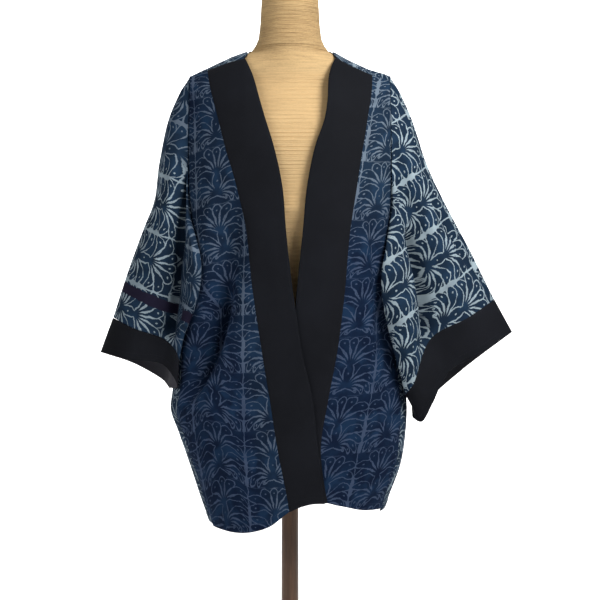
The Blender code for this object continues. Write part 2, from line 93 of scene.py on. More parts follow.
CUFF_SEAM_GAP = {RIGHT: 0.0020, LEFT: 0.0008}
ROLL_START_LIFT = 0.004
BACK_BAND_WIDTH = 0.012
BACK_BAND_START = 0.0012
BACK_BAND_RISE = 1.7
BACK_BAND_TAPER = 0.8
BACK_BAND_ROWS = 6

# The body's section at each drop: half widths, and depths before and behind the shoulder line
Body = namedtuple("Body", "drop left right front back")
BODY = (
    Body(0, 200, 200, 148, 118),
    Body(150, 200, 200, 148, 119),
    Body(335, 197, 196, 146, 120),
    Body(450, 199, 206, 144, 120),
    Body(560, 209, 216, 141, 120),
    Body(630, 219, 222, 139, 119),
    Body(668, 221, 225, 138, 118),
    Body(705, 219, 212, 137, 116),
    Body(770, 209, 189, 135, 113),
    Body(830, 187, 169, 132, 108),
    Body(880, 170, 151, 130, 104),
)

# The front bands' edges at each drop below the shoulder line, from the middle, + to the left
Band = namedtuple("Band", "drop right_outer right_inner left_inner left_outer")
BANDS = (
    Band(0, -156, -93, 92, 155),
    Band(50, -146, -70, 74, 151),
    Band(100, -134, -55, 70, 143),
    Band(130, -127, -46, 65.5, 139),
    Band(180, -115, -30, 48, 131),
    Band(250, -95, -14, 33, 121),
    Band(330, -78, -7, 25, 109),
    Band(450, -63, 7, 13, 98),
    Band(550, -48, 22, 4, 85),
    Band(630, -35, 40, -7, 70),
    Band(720, -21, 50, -20, 56),
    Band(830, 0, 64, -10, 68),
    Band(880, 8, 70, -6, 72),
)

# The hem's drop across the body, from the right side to the left side
Hem = namedtuple("Hem", "across drop")
FRONT_HEM = (Hem(-200, 878), Hem(-150, 877), Hem(-70, 874), Hem(-35, 861), Hem(0, 834),
             Hem(64, 820), Hem(92, 828), Hem(160, 843), Hem(200, 846))
BACK_HEM = (Hem(-200, 878), Hem(-100, 868), Hem(0, 862), Hem(100, 856), Hem(200, 846))

# Folds and creases: a bowed line between two places of the cloth, its half width and its height.
# Each rises at its top and falls off at its low end, over these shares of its length
FOLD_RISES = (0, 0.3)
FOLD_FALLS = (0.7, 1)
Fold = namedtuple("Fold", "top_across top_drop low_across low_drop bow width height")
FRONT_FOLDS = (
    Fold(-108, 255, -203, 665, 32, 26, -28),
    Fold(-140, 240, -196, 560, 10, 22, 4),
    Fold(-84, 300, -150, 700, 22, 24, 6),
    Fold(-118, 640, -96, 905, 0, 17, 5),
    Fold(-60, 560, -52, 905, 0, 20, -4),
    Fold(150, 210, 190, 640, -12, 12, -8),
    Fold(134, 260, 150, 700, 4, 15, 5),
    Fold(108, 560, 96, 905, 0, 14, -4),
    Fold(140, 600, 128, 905, 0, 14, 4),
)
BACK_FOLDS = (
    Fold(-128, 120, -122, 920, -6, 24, 9),
    Fold(-78, 200, -70, 920, 4, 20, -9),
    Fold(-30, 240, -22, 920, 0, 22, 8),
    Fold(22, 180, 34, 920, -4, 20, -8),
    Fold(72, 220, 84, 920, 4, 22, 9),
    Fold(122, 120, 128, 920, 6, 22, -8),
)
FRONT_CREASES = (
    Fold(-118, 410, -205, 670, 18, 11, -26),
    Fold(-150, 150, -120, 300, 6, 9, -1.8),
    Fold(-128, 210, -160, 400, -4, 8, 1.6),
    Fold(-96, 420, -120, 640, 5, 9, -1.6),
    Fold(-160, 560, -132, 800, 6, 10, 2.0),
    Fold(-84, 660, -70, 880, -3, 9, 1.5),
    Fold(-140, 700, -118, 890, 3, 8, -1.6),
    Fold(146, 130, 166, 290, -5, 8, -1.6),
    Fold(120, 380, 140, 620, 4, 9, 1.6),
    Fold(170, 430, 160, 700, -6, 9, -1.8),
    Fold(88, 640, 84, 850, 3, 8, 1.4),
    Fold(120, 660, 108, 860, 3, 7, -1.4),
    Fold(-40, 300, -20, 520, 4, 12, 0.9),
    Fold(30, 520, 44, 760, -4, 12, -0.9),
)
BACK_CREASES = (
    Fold(-150, 90, -120, 300, 8, 10, -1.8),
    Fold(-100, 130, -130, 420, -6, 9, 1.7),
    Fold(-52, 320, -44, 620, 4, 9, -1.6),
    Fold(-8, 420, 4, 780, -4, 10, 1.6),
    Fold(46, 300, 52, 640, 4, 9, 1.7),
    Fold(100, 130, 122, 400, 6, 9, -1.7),
    Fold(146, 110, 126, 320, -8, 10, 1.8),
    Fold(-104, 560, -96, 900, 3, 9, 1.6),
    Fold(100, 560, 108, 880, -3, 9, -1.6),
)

# Rows of the body's grids, as drops below the shoulder line
LOWER_ROWS = (158, 200, 242, 280, 314, 345, 380, 418, 458, 498, 538, 574, 608, 640, 672, 705,
              740, 775, 810, 845, 880)
FRONT_ROWS = (2, 7, 16, 31, 54, 84, 120) + LOWER_ROWS
BACK_ROWS = (-1.5, -0.5, 0, 0.6, 2.5, 8, 18, 33, 54, 84, 120) + LOWER_ROWS
# The shoulder seam, which runs lower beside the neck: distances from the middle and falls
SEAM_FALLS = {LEFT: ((85, 13), (156, 11), (188, 9)),
              RIGHT: ((85, 16.5), (156, 5.5), (188, 0.5))}
SEAM_SHAPE_ENDS = 0.084         # drop down to which the front's rows lean to the seam
STRIP_WIDENS = (NECK_HALF_WIDTH, 0.156)  # where its widening to the bands is full, and none
HEM_SHAPE_STARTS = 0.5
ROW_REACH = 0.88
ROW_PASSES = 3                  # the lean to the hem moves the rows, so they are worked out again
PANEL_COLUMNS = {RIGHT: 44, LEFT: 36}
BAND_COLUMNS = 20
SHOULDER_COLUMNS = 44           # of the back panel, on each side of its neck edge
NECK_COLUMNS = 41
NECK_CORNER_TURN = 0.008        # from the neck edge's end to the columns on both sides, in radians

# The sleeves' rows from armhole to cuff seam. over: the overarm line; valley and roll: the
# hollow and the hanging roll of slack cloth before the underarm; crease: where the roll turns
# under; under: the underarm line. Each has a distance from the middle, a drop and a depth.
# corner is how far from the middle the cloth passes between the roll and the underarm.
Sleeve = namedtuple("Sleeve", "over valley roll crease corner under front back")
SLEEVE_LEFT = (
    Sleeve((228, 122), (213, 300, -58), (197, 332, -84), (176, 365, -88), 201, (204, 385), -56, 54),
    Sleeve((262, 212), (228, 350, -57), (199, 388, -105), (168, 412, -99), 205, (208, 435), -60, 56),
    Sleeve((298, 287), (243, 403, -56), (205, 440, -114), (171, 462, -100), 209, (212, 485), -60, 56),
    Sleeve((336, 358), (254, 457, -54), (211, 492, -114), (182, 514, -97), 214, (217, 535), -56, 52),
    Sleeve((362, 410), (259, 500, -52), (218, 552, -108), (198, 575, -90), 220, (223, 585), -52, 46),
    Sleeve((388, 462), (263, 530, -50), (226, 612, -88), (214, 632, -72), 228, (231, 634), -44, 38),
)
SLEEVE_RIGHT = (
    Sleeve((226, 118), (200, 290, -60), (184, 326, -92), (171, 346, -93), 194, (203, 375), -58, 56),
    Sleeve((247, 197), (201, 335, -62), (174, 370, -116), (161, 388, -110), 196, (208, 415), -64, 62),
    Sleeve((257, 272), (202, 385, -60), (173, 414, -120), (163, 434, -112), 197, (213, 455), -68, 66),
    Sleeve((279, 330), (204, 437, -60), (179, 456, -116), (173, 472, -106), 202, (219, 497), -68, 70),
    Sleeve((308, 410), (213, 487, -62), (197, 505, -92), (194, 524, -86), 215, (223, 548), -64, 72),
    Sleeve((335, 494), (232, 531, -58), (206, 556, -82), (205, 573, -74), 222, (227, 596), -58, 68),
)
CUFF_HEM_LEFT = Sleeve((421, 522), (296, 592, -48), (264, 650, -62), (246, 684, -54),
                       232, (236, 677), -40, 34)
CUFF_HEM_RIGHT = Sleeve((359, 560), (238, 576, -60), (214, 598, -78), (207, 618, -70),
                        224, (229, 628), -62, 70)
# Places of the other control points: shares of the way from overarm line to valley and from
# underarm to overarm line, and shares of the depths
FRONT_SHARE = 0.45
BACK_SHARES = (0.18, 0.58)
BACK_LOW_DEPTH = 0.85
CORNER_DEPTH = 0.56
CONTROLS = 9                    # control points round a sleeve, from the overarm line
UNDER_CONTROL = 6               # which of them is the underarm
# Drops at which the sleeve's first control points lie on the body, and the underarm's ease
ARMHOLE_FRONT_DROPS = (0.1, 0.2, 0.26, 0.294, 0.32)
ARMHOLE_BACK_DROPS = (0.26, 0.12)
UNDERARM_EASE = 0.004
SLEEVE_ROWS = 110
SLEEVE_SPAN = 20                # mesh columns from one control point to the next
CUFF_ROWS = 20
CUFF_SPAN = 14

# Creases of the sleeves: across is the way round from the overarm line, + over the front, and
# the drop is the way along the sleeve from its first overarm point
SLEEVE_CREASES = {
    RIGHT: (
        Fold(30, 20, 60, 190, 8, 11, -2.2),
        Fold(70, 60, 40, 240, -8, 10, 2.0),
        Fold(18, 170, 66, 330, 6, 10, -2.0),
        Fold(58, 220, 90, 380, 6, 9, 2.2),
        Fold(-40, 30, -80, 220, 8, 12, 2.4),
        Fold(-110, 60, -70, 300, 6, 12, -2.4),
        Fold(-150, 120, -120, 360, -6, 12, 2.2),
        Fold(-60, 240, -90, 400, 4, 11, -2.2),
    ),
    LEFT: (
        Fold(26, 10, 70, 170, 8, 11, -2.2),
        Fold(80, 40, 60, 250, -8, 11, 2.2),
        Fold(58, 205, 29, 415, -3, 7, -11.0),
        Fold(34, 180, 96, 360, 8, 10, 2.2),
        Fold(-36, 20, -90, 220, 8, 12, 2.4),
        Fold(-110, 50, -60, 290, 6, 12, -2.4),
        Fold(-150, 130, -120, 350, -6, 12, 2.2),
        Fold(-60, 230, -90, 390, 4, 11, -2.2),
    ),
}

# Shares of a sleeve's length over which its creases start and end, and its crevice ends
CREASE_STARTS = (0, 0.12)
CREASE_ENDS = (0.88, 1)
CREVICE_ENDS = (0.9, 1)

# The deep crevice beside each sleeve's roll. place: control point round the sleeve; depth, reach
# under the roll and half width in millimetres; start and full: shares of the sleeve's length
Crevice = namedtuple("Crevice", "place depth under width start full")
CREVICES = {RIGHT: Crevice(2.05, 36, 4, 13, 0.0, 0.12), LEFT: Crevice(2.1, 34, 20, 12, 0.2, 0.4)}

# The sleeve's head rises over its straight line: height, half width round the sleeve, and the
# shares of its length where it rises and falls
SHOULDER_PUFF = 0.004
PUFF_WIDTH = 0.05
PUFF_RISES = (0, 0.07)
PUFF_FALLS = (0.12, 0.34)

# How the fronts and sleeves lie on the printed cloth. column and row: shifts of the print, in
# millimetres; lean: how far its columns lean from plumb; grain: degrees from plumb to the way
# they run off the shoulder; spread: scale of the way round a sleeve
FrontPrint = namedtuple("FrontPrint", "column row lean")
FRONT_PRINTS = {RIGHT: FrontPrint(-19, -11, 0.0), LEFT: FrontPrint(28, 2.5, 0.205)}
SleevePrint = namedtuple("SleevePrint", "grain column row spread")
SLEEVE_PRINTS = {RIGHT: SleevePrint(22, 11.5, 0, 0.8), LEFT: SleevePrint(34, 25, 17.6, 0.8)}
CUFF_MAP = SleevePrint(30, 0, 0, 1)
LEAN_ABOUT = 0.14               # distance from the middle at which a lean leaves the rows as they are

# How pale the print's strokes are: 0 is worn indigo, 1 is undyed cotton. On the left front's top and
# the right front's middle, part of that paleness is painted light.
PALE_BODY = 0.04
PALE_BESIDE_BAND = 0.16
# The left front's top is made paler as painted light, where light from above and the side falls on
# it.
PAINTED_LIGHT_LEFT_TOP = 0.36
# The right front's middle is made paler as painted light, lifting shade that the lamps leave there.
PAINTED_LIGHT_RIGHT_MIDDLE = 0.18
PALE_STRIP = 0.60
PALE_SHOULDER = 0.30
PALE_ROLL = 0.32
PALE_RIGHT_SLEEVE = 0.85
# Where that changes: distances from the right band, drops, depths behind the ridge, and places
# round the right sleeve, counted in control points
BESIDE_BAND_FADE = (0.02, 0.055)
LEFT_TOP_FADE = (0.2, 0.42)
RIGHT_MIDDLE_STARTS = (0.06, 0.2)
RIGHT_MIDDLE_FADE = (0.36, 0.48)
STRIP_FADE = (0.006, 0.07)
RIGHT_SLEEVE_STARTS = (0.16, 0.24)
ROLL_STARTS = (2.2, 2.6)
ROLL_FADE = (5, 6)

RIM_TURNS = (0.25, 0.5, 0.75)   # shares of the half turn from the outer face to the inner one
HEM_EXTRA = 0.7                 # how much thicker a turned hem is
HEM_EDGE = 0.9                  # share of its width at which it begins to thin out

# The form's plan sections
Section = namedtuple("Section", "drop half front back power")
FORM = (
    Section(-120, 48, 48, 48, 2),
    Section(-118, 52.5, 52, 52, 2),
    Section(-114, 54, 54, 54, 2),
    Section(-60, 57, 56, 56, 2),
    Section(-34, 60, 58, 58, 2),
    Section(-20, 66, 60, 60, 1.95),
    Section(50, 177, 67, 74, 1.72),
    Section(80, 178, 83, 88, 1.95),
    Section(130, 172, 105, 101, 2.1),
    Section(200, 166, 119, 106, 2.2),
    Section(290, 160, 126, 103, 2.2),
    Section(360, 143, 112, 94, 2.2),
    Section(430, 129, 98, 86, 2.2),
    Section(500, 137, 102, 92, 2.2),
    Section(580, 155, 110, 104, 2.3),
    Section(660, 168, 112, 108, 2.3),
    Section(740, 166, 106, 101, 2.3),
    Section(792, 158, 99, 94, 2.3),
    Section(800, 150, 92, 88, 2.3),
)
# Its shoulder rings between neck and armhole: from the first one's values to the last one's
FORM_SHOULDER_DROPS = (-9, -4, 2, 9, 17, 26, 36)
FORM_SHOULDER_FRONT = (56, 62)
FORM_SHOULDER_BACK = (60, 69)
FORM_SHOULDER_POWER = (1.45, 1.62)
FORM_NECK_EASE = 5              # how far the first shoulder ring stays in, fading to the last
FORM_CLEARANCE = 0.0014         # between the form and the cloth's shoulder line
# The neck's own column, which goes on down into the chest and the back
NECK_COLUMN_HALF = 0.061
NECK_COLUMN_DEPTH = 0.0585
NECK_COLUMN_STARTS = (-0.030, -0.008)
NECK_COLUMN_ENDS = (0.030, 0.070)
NECK_COLUMN_SHRINK = 0.8        # its size above and below those drops
NECK_BLEND = 24                 # the higher, the sharper the line between neck and chest

# The print's fans. base: the fan's foot above the row line; spacing: degrees between fronds;
# droop: how far the fronds turn outwards; stem: extra half width of the middle frond, in
# fronds; lengths: from the middle frond outwards
Fan = namedtuple("Fan", "base spacing droop stem lengths")
LOW_FAN = Fan(17, 17, 0.55, 0.9, (38, 55, 50, 46, 38, 27))
HIGH_FAN = Fan(55, 18, 0.40, 0.0, (48, 51, 57, 49))
LOBE = 7.4                      # radius of a frond's end, in millimetres
STEM_DOT = 25                   # from the low fan's foot up to the dot on its stem
FAN_REACH = 45.0                # distance at which the droop is full, in millimetres
# The rest of the print, in millimetres of cloth, where two numbers are the ends of a fade.
# The slit between two fronds opens, then narrows again
SLIT_START = 0.4
SLIT_EXTRA = 1.1
SLIT_LOSS = 1.3
SLIT_OPENS = (6, 24)
SLIT_NARROWS = (26, 44)
LOBE_EASE = 0.6
DOT_BACK = 0.5
DOT_SIZE = (1.1, 1.8)
STROKE_SHARE = 0.72             # an outline's width, as a share of the stroke's
STROKE_EDGE = (-0.35, 0.45)
STROKE_END = 0.9
BEYOND_EDGE = 40                # what makes the strokes run out at a block's edge
STEM_SIDE = (4.4, 6.2)
STEM_FOOT = (20, 25)
STEM_TOP = (57, 61)
ROW_LINE = (0.6, 1.3)
FILL_MIDDLE = 46
FILL_REACH = (14, 40)
# The hand's unsteadiness: scale of the noise, and how far it moves the print
Jitter = namedtuple("Jitter", "scale reach")
WOBBLE = Jitter(70.0, 6.0)
SHAKE = Jitter(420.0, 2.2)
# How far the strokes cover the ground, on the right side and the wrong side
PRINT_STRENGTH = 0.92
WRONG_SIDE_STRENGTH = 0.6
JOINT = (418, 20)               # start and width of the plain stripe between two blocks
# Colours of the plain black crepe
CREPE = (0.0062, 0.0070, 0.0100)
CREPE_WRONG_SIDE = (0.045, 0.045, 0.055)

# Sewing: shares of the hem's width, of the cloth's thickness and of the thread's radius, and the
# distance of a cuff's stitches from its seam. CUFF_CLOTH: a cuff's thickness, as a share of a band's
HEM_STITCH = 0.82
HEM_FACE = 0.85
CUFF_FACE = 0.4
THREAD_LIFT = 0.4
CUFF_SEAM_STITCH = 0.0025
CUFF_CLOTH = 0.8

# The twine's winding. Each wave moves it up and down: height in millimetres, waves in a turn
Wave = namedtuple("Wave", "height rate start")
TWINE_WAVES = (Wave(0.16, 0.31, 0), Wave(0.12, 1.7, 2))
TWINE_SIDES = 5
TWINE_SAMPLES = 4000
CORE_INSET = 1.1                # depth of the body under the twine, in the twine's radii
CORE_STEP = 0.008
CORE_COLUMNS = 96
CORE_CREASE = 50                # degrees from which its edges stay sharp

# The stage. A lamp's power is the name of the setting that holds it
Lamp = namedtuple("Lamp", "name place target size power")
LAMPS = (
    Lamp("key_light", (1.2, -1.25, 2.45), (0, 0, 1.55), 0.9, "key_power"),
    Lamp("fill_light", (-1.7, -2.0, 2.3), (0, 0, 1.5), 1.6, "fill_power"),
    Lamp("wall_light", (0, 4.6, 5.4), (0, 8.0, 1.6), 4.5, "wall_power"),
)
CAMERA_ACROSS = 0.019
SENSOR_WIDTH = 36.0
FRAME_SHIFT = -70 / 600         # as a share of the picture's width
FLOOR_FRONT = -5.0
WALL_DEPTH = 8.0
WALL_BEND = 2.0
WALL_HALF = 8.0
WALL_TOP = 8.0
BEND_POINTS = 24


class KimonoCloth(PropertyGroup):
    """Sizes of the cloth."""
    print_cloth: FloatProperty(name="Printed cotton", description="Thickness of the printed cotton",
                               default=0.0013, unit="LENGTH")
    band_cloth: FloatProperty(name="Bands and cuffs", description="Thickness of the folded bands",
                              default=0.0024, unit="LENGTH")
    turned_hem: FloatProperty(name="Turned hem", description="Width of the turned hem",
                              default=0.014, unit="LENGTH")
    grid_step: FloatProperty(name="Grid step", description="Spacing of the cloth's mesh",
                             default=0.0046, unit="LENGTH")
    stitch_pitch: FloatProperty(name="Stitch pitch", description="From one stitch to the next",
                                default=0.0042, unit="LENGTH")
    stitch_length: FloatProperty(name="Stitch length", description="Length of one stitch",
                                 default=0.0028, unit="LENGTH")
    stitch_radius: FloatProperty(name="Thread radius", description="Radius of the sewing thread",
                                 default=0.00024, unit="LENGTH")
    thread: FloatVectorProperty(name="Thread", description="Thread of the printed cloth",
                                subtype="COLOR", default=(0.030, 0.045, 0.090))
    black_thread: FloatVectorProperty(name="Black thread", description="Thread of the bands",
                                      subtype="COLOR", default=(0.012, 0.013, 0.018))


class KimonoPrint(PropertyGroup):
    """Sizes and colours of the block print."""
    block_width: FloatProperty(name="Block width", description="From one column to the next",
                               default=0.103, unit="LENGTH")
    block_height: FloatProperty(name="Block height", description="From one row to the next",
                                default=0.105, unit="LENGTH")
    stroke: FloatProperty(name="Stroke", description="Width of the pale strokes, in millimetres",
                          default=2.5)
    indigo: FloatVectorProperty(name="Indigo", description="Dark ground", subtype="COLOR",
                                default=(0.0035, 0.0085, 0.0270))
    blue: FloatVectorProperty(name="Blue", description="Blue fill of the fronds", subtype="COLOR",
                              default=(0.0105, 0.0310, 0.0750))
    cream: FloatVectorProperty(name="Cream", description="Undyed cotton", subtype="COLOR",
                               default=(0.37, 0.46, 0.51))
    faded: FloatVectorProperty(name="Faded ground", description="Ground of the palest pieces",
                               subtype="COLOR", default=(0.027, 0.054, 0.080))
    worn: FloatVectorProperty(name="Worn", description="Worn strokes", subtype="COLOR",
                              default=(0.0400, 0.0620, 0.1220))
    joint: FloatVectorProperty(name="Joint", description="Plain stripe between two blocks",
                               subtype="COLOR", default=(0.0150, 0.0130, 0.0290))


class KimonoForm(PropertyGroup):
    """Sizes and colours of the dress form and its stand."""
    twine_radius: FloatProperty(name="Twine radius", description="Radius of the wound twine",
                                default=0.0017, unit="LENGTH")
    twine_pitch: FloatProperty(name="Twine pitch", description="From one turn to the next",
                               default=0.0026, unit="LENGTH")
    turn_points: IntProperty(name="Points in a turn", description="Mesh points in one turn",
                             default=46)
    twine: FloatVectorProperty(name="Twine", description="Light strands", subtype="COLOR",
                               default=(0.62, 0.43, 0.21))
    twine_dark: FloatVectorProperty(name="Dark twine", description="Dark strands",
                                    subtype="COLOR", default=(0.36, 0.235, 0.11))
    # The lighter twine below the neck is painted light: it stands in for the light that falls more on
    # the chest than on the shaded neck, not for less handled twine.
    twine_painted_light: FloatVectorProperty(name="Pale twine", description="Less handled twine below the "
                                    "neck", subtype="COLOR", default=(0.86, 0.62, 0.33))
    wood: FloatVectorProperty(name="Wood", description="Stand's stained wood", subtype="COLOR",
                              default=(0.075, 0.038, 0.020))


class KimonoStage(PropertyGroup):
    """Light and view."""
    camera_distance: FloatProperty(name="Camera distance", description="From the middle plane",
                                   default=2.5, unit="LENGTH")
    frame_width: FloatProperty(name="Frame width", description="Width seen at the middle plane",
                               default=1.14, unit="LENGTH")
    horizon: FloatProperty(name="Horizon", description="Camera height above the floor",
                           default=1.0913, unit="LENGTH")
    key_power: FloatProperty(name="Key light", description="Power of the large soft light",
                             default=52.0, unit="POWER")
    fill_power: FloatProperty(name="Fill light", description="Power of the fill light",
                              default=24.0, unit="POWER")
    wall_power: FloatProperty(name="Backdrop light", description="Power of the light on the wall",
                              default=900.0, unit="POWER")
    ambient: FloatProperty(name="Ambient", description="Strength of the pale surroundings",
                           default=0.19)
    floor: FloatVectorProperty(name="Floor", description="Pale floor and backdrop",
                               subtype="COLOR", default=(0.93, 0.93, 0.93))


def smooth(knots, values, at):
    """Smooth cubic curve through the values, with rising knots."""
    knots = np.asarray(knots, float)
    values = np.asarray(values, float)
    at = np.clip(np.asarray(at, float), knots[0], knots[-1])
    slopes = np.gradient(values, knots, axis=0)
    i = np.clip(np.searchsorted(knots, at, side="right") - 1, 0, len(knots) - 2)
    gap = knots[i + 1] - knots[i]
    t = (at - knots[i]) / gap
    extra = (1,) * (values.ndim - 1)
    t = t.reshape(t.shape + extra)
    gap = gap.reshape(gap.shape + extra)
    return ((1 + 2 * t) * (1 - t) ** 2 * values[i] + t * (1 - t) ** 2 * gap * slopes[i]
            + t * t * (3 - 2 * t) * values[i + 1] - t * t * (1 - t) * gap * slopes[i + 1])


def column(table, name, at):
    """One named column of a table, in metres, at the given place of its first column."""
    return smooth([row[0] * MM for row in table], [getattr(row, name) * MM for row in table], at)


def step(start, end, value):
    """Smooth step from 0 at start to 1 at end."""
    t = np.clip((value - start) / (end - start), 0, 1)
    return t * t * (3 - 2 * t)


def plateau(rises, falls, value):
    """Smooth rise from 0 to 1 and smooth fall back to 0."""
    return step(*rises, value) * (1 - step(*falls, value))


def finer(values, spacing):
    """The values with even steps of at most the spacing between them."""
    parts = [np.linspace(a, b, max(1, math.ceil(abs(b - a) / spacing)), endpoint=False)
             for a, b in zip(values, values[1:])]
    return np.concatenate(parts + [values[-1:]])


def by_side(across, give):
    """What give returns for the left side where across is positive, else for the right side."""
    return np.where(np.asarray(across) > 0, give(LEFT), give(RIGHT))


def side_line(lines, across):
    """Value, in metres, of each side's own line at a distance from the middle."""
    return by_side(across, lambda side: np.interp(np.abs(across), *np.array(lines[side]).T * MM))


def shoulder_drop(across):
    """Drop of the shoulder line at a distance from the middle."""
    straight = SHOULDER_SLOPE * np.maximum(np.abs(across) - SHOULDER_START, 0)
    return SHOULDER_START_DROP + straight - side_line(SHOULDER_BOW, across)


def front_round(drop):
    return (1 - np.exp(-np.abs(drop) / FRONT_ROUND)) ** FRONT_ROUND_POWER


def back_round(drop):
    return (1 - np.exp(-np.abs(drop) / BACK_ROUND)) ** BACK_ROUND_POWER


def folds(table, across, drop):
    """Height of all folds of a table at a place of the cloth."""
    height = np.zeros(np.broadcast(across, drop).shape)
    for fold in table:
        t = (drop - fold.top_drop * MM) / ((fold.low_drop - fold.top_drop) * MM)
        ends = plateau(FOLD_RISES, FOLD_FALLS, t)
        t = np.clip(t, 0, 1)
        middle = fold.top_across + (fold.low_across - fold.top_across) * t
        middle = (middle + fold.bow * 4 * t * (1 - t)) * MM
        height = height + fold.height * MM * ends * np.exp(
            -((across - middle) / (fold.width * MM)) ** 2)
    return height


def half_width(side, drop):
    return column(BODY, SIDE_NAMES[side], drop)


def front_angle(across, drop):
    """Angle on the body's section of a place on the front; 0 is the middle, + is left."""
    half = by_side(across, lambda side: half_width(side, drop))
    share = np.minimum(np.abs(across) / half, 1)
    return np.sign(across) * np.arcsin(share ** (SECTION_POWER / 2))


def body_surface(angle, drop, over_front=False):
    """Point of the cloth at an angle round the body and a drop below the shoulder line.

    over_front puts the back panel's first rows before the shoulder line.
    """
    angle, drop = np.broadcast_arrays(angle, drop)
    sine, cosine = np.sin(angle), np.cos(angle)
    half = by_side(sine, lambda side: half_width(side, drop))
    front = column(BODY, "front", drop) * front_round(drop)
    back = column(BODY, "back", drop) * back_round(drop)
    depth = np.where((cosine > 0) | over_front, front, back)
    flat = 2 / SECTION_POWER
    x = half * np.sign(sine) * np.abs(sine) ** flat
    y = depth * np.sign(cosine) * -np.abs(cosine) ** flat
    y = np.where(over_front, -np.abs(y), y)
    out_x = np.sign(sine) * np.abs(sine) ** (2 - flat) / half
    out_y = -np.sign(cosine) * np.abs(cosine) ** (2 - flat) / np.maximum(depth, LEAST_DEPTH)
    length = np.hypot(out_x, out_y)
    facing = step(*FACING_FADE, np.abs(cosine))
    height = facing * np.where(cosine > 0, folds(FRONT_FOLDS + FRONT_CREASES, x, drop),
                               folds(BACK_FOLDS + BACK_CREASES, x, drop))
    level = shoulder_drop(x) * (1 - step(*SHOULDER_FADE, drop))
    return np.stack([x + out_x / length * height, y + out_y / length * height,
                     NECK_POINT_HEIGHT - drop - level], axis=-1)


def lean_to_hem(hem, across, drop):
    """Drop of a row that leans towards the hem's own line."""
    return drop + (column(hem, "drop", across) - ROW_REACH) * step(
        HEM_SHAPE_STARTS, ROW_REACH, drop)


def seam_fall(across):
    """How far the shoulder seam lies below its row at a distance from the middle."""
    return side_line(SEAM_FALLS, across)


def lap(side, across, drop):
    """How far the right front stands over the left one."""
    if side == LEFT:
        return 0 * across
    return LAP_LIFT * step(*LAP_SPAN, across) * step(*LAP_DROPS, drop)


def front_edge(side, drop):
    """Angle of a front panel's outer edge: the armhole above, the side seam below."""
    seam = half_width(side, drop) * SEAM_SHARE
    below = step(*FRONT_SEAM_BLEND, drop)
    return front_angle(side * (ARMHOLE_HALF + (seam - ARMHOLE_HALF) * below), drop)


def band_edge(side, edge, drop):
    return column(BANDS, SIDE_NAMES[side] + "_" + edge, drop)


def front_grid(side, start, end, columns):
    """Grid between two lines down the front, each a function of drop that gives an angle."""
    rows = finer(np.array(FRONT_ROWS) * MM, cloth().grid_step)[:, None]
    share = np.linspace(0, 1, columns)[None, :]
    drop = rows + 0 * share
    for _ in range(ROW_PASSES):
        angle = start(drop) + (end(drop) - start(drop)) * share
        across = body_surface(angle, drop)[..., 0]
        drop = lean_to_hem(FRONT_HEM, across, rows) + seam_fall(across) * (
            1 - step(0, SEAM_SHAPE_ENDS, rows))
    grid = body_surface(angle, drop)
    grid[..., 1] -= lap(side, across, drop)
    return grid


def band_angle(side, edge, turn=0.0):
    """Function of drop that gives the angle of a front band's edge, turned a little."""
    return lambda drop: front_angle(band_edge(side, edge, drop), drop) + side * turn


def front_panel_grid(side):
    return front_grid(side, band_angle(side, "outer", SEAM_TURN),
                      lambda drop: front_edge(side, drop) - side * SEAM_TURN,
                      PANEL_COLUMNS[side])


def front_band_grid(side):
    return front_grid(side, band_angle(side, "inner"), band_angle(side, "outer", -SEAM_TURN),
                      BAND_COLUMNS)


def back_edge(side, drop):
    """Angle of the back panel's edge, from the front's middle round that side."""
    armhole = math.pi - np.abs(front_angle(side * ARMHOLE_HALF, drop))
    seam = np.abs(front_edge(side, drop)) + SEAM_TURN
    return armhole + (seam - armhole) * step(*BACK_SEAM_BLEND, drop)


def neckline_drop(across):
    """Drop, below the shoulder line, of the back panel's neck edge."""
    depth = NECK_BACK_DEPTH * np.sqrt(1 - np.minimum(np.abs(across) / NECK_HALF_WIDTH, 1) ** 2)
    width = half_width(LEFT, 0)
    share = (1 - (np.abs(across) / width) ** SECTION_POWER) ** (1 / SECTION_POWER)
    ratio = depth / (BODY[0].back * MM * share)
    return -BACK_ROUND * np.log(1 - ratio ** (1 / BACK_ROUND_POWER))


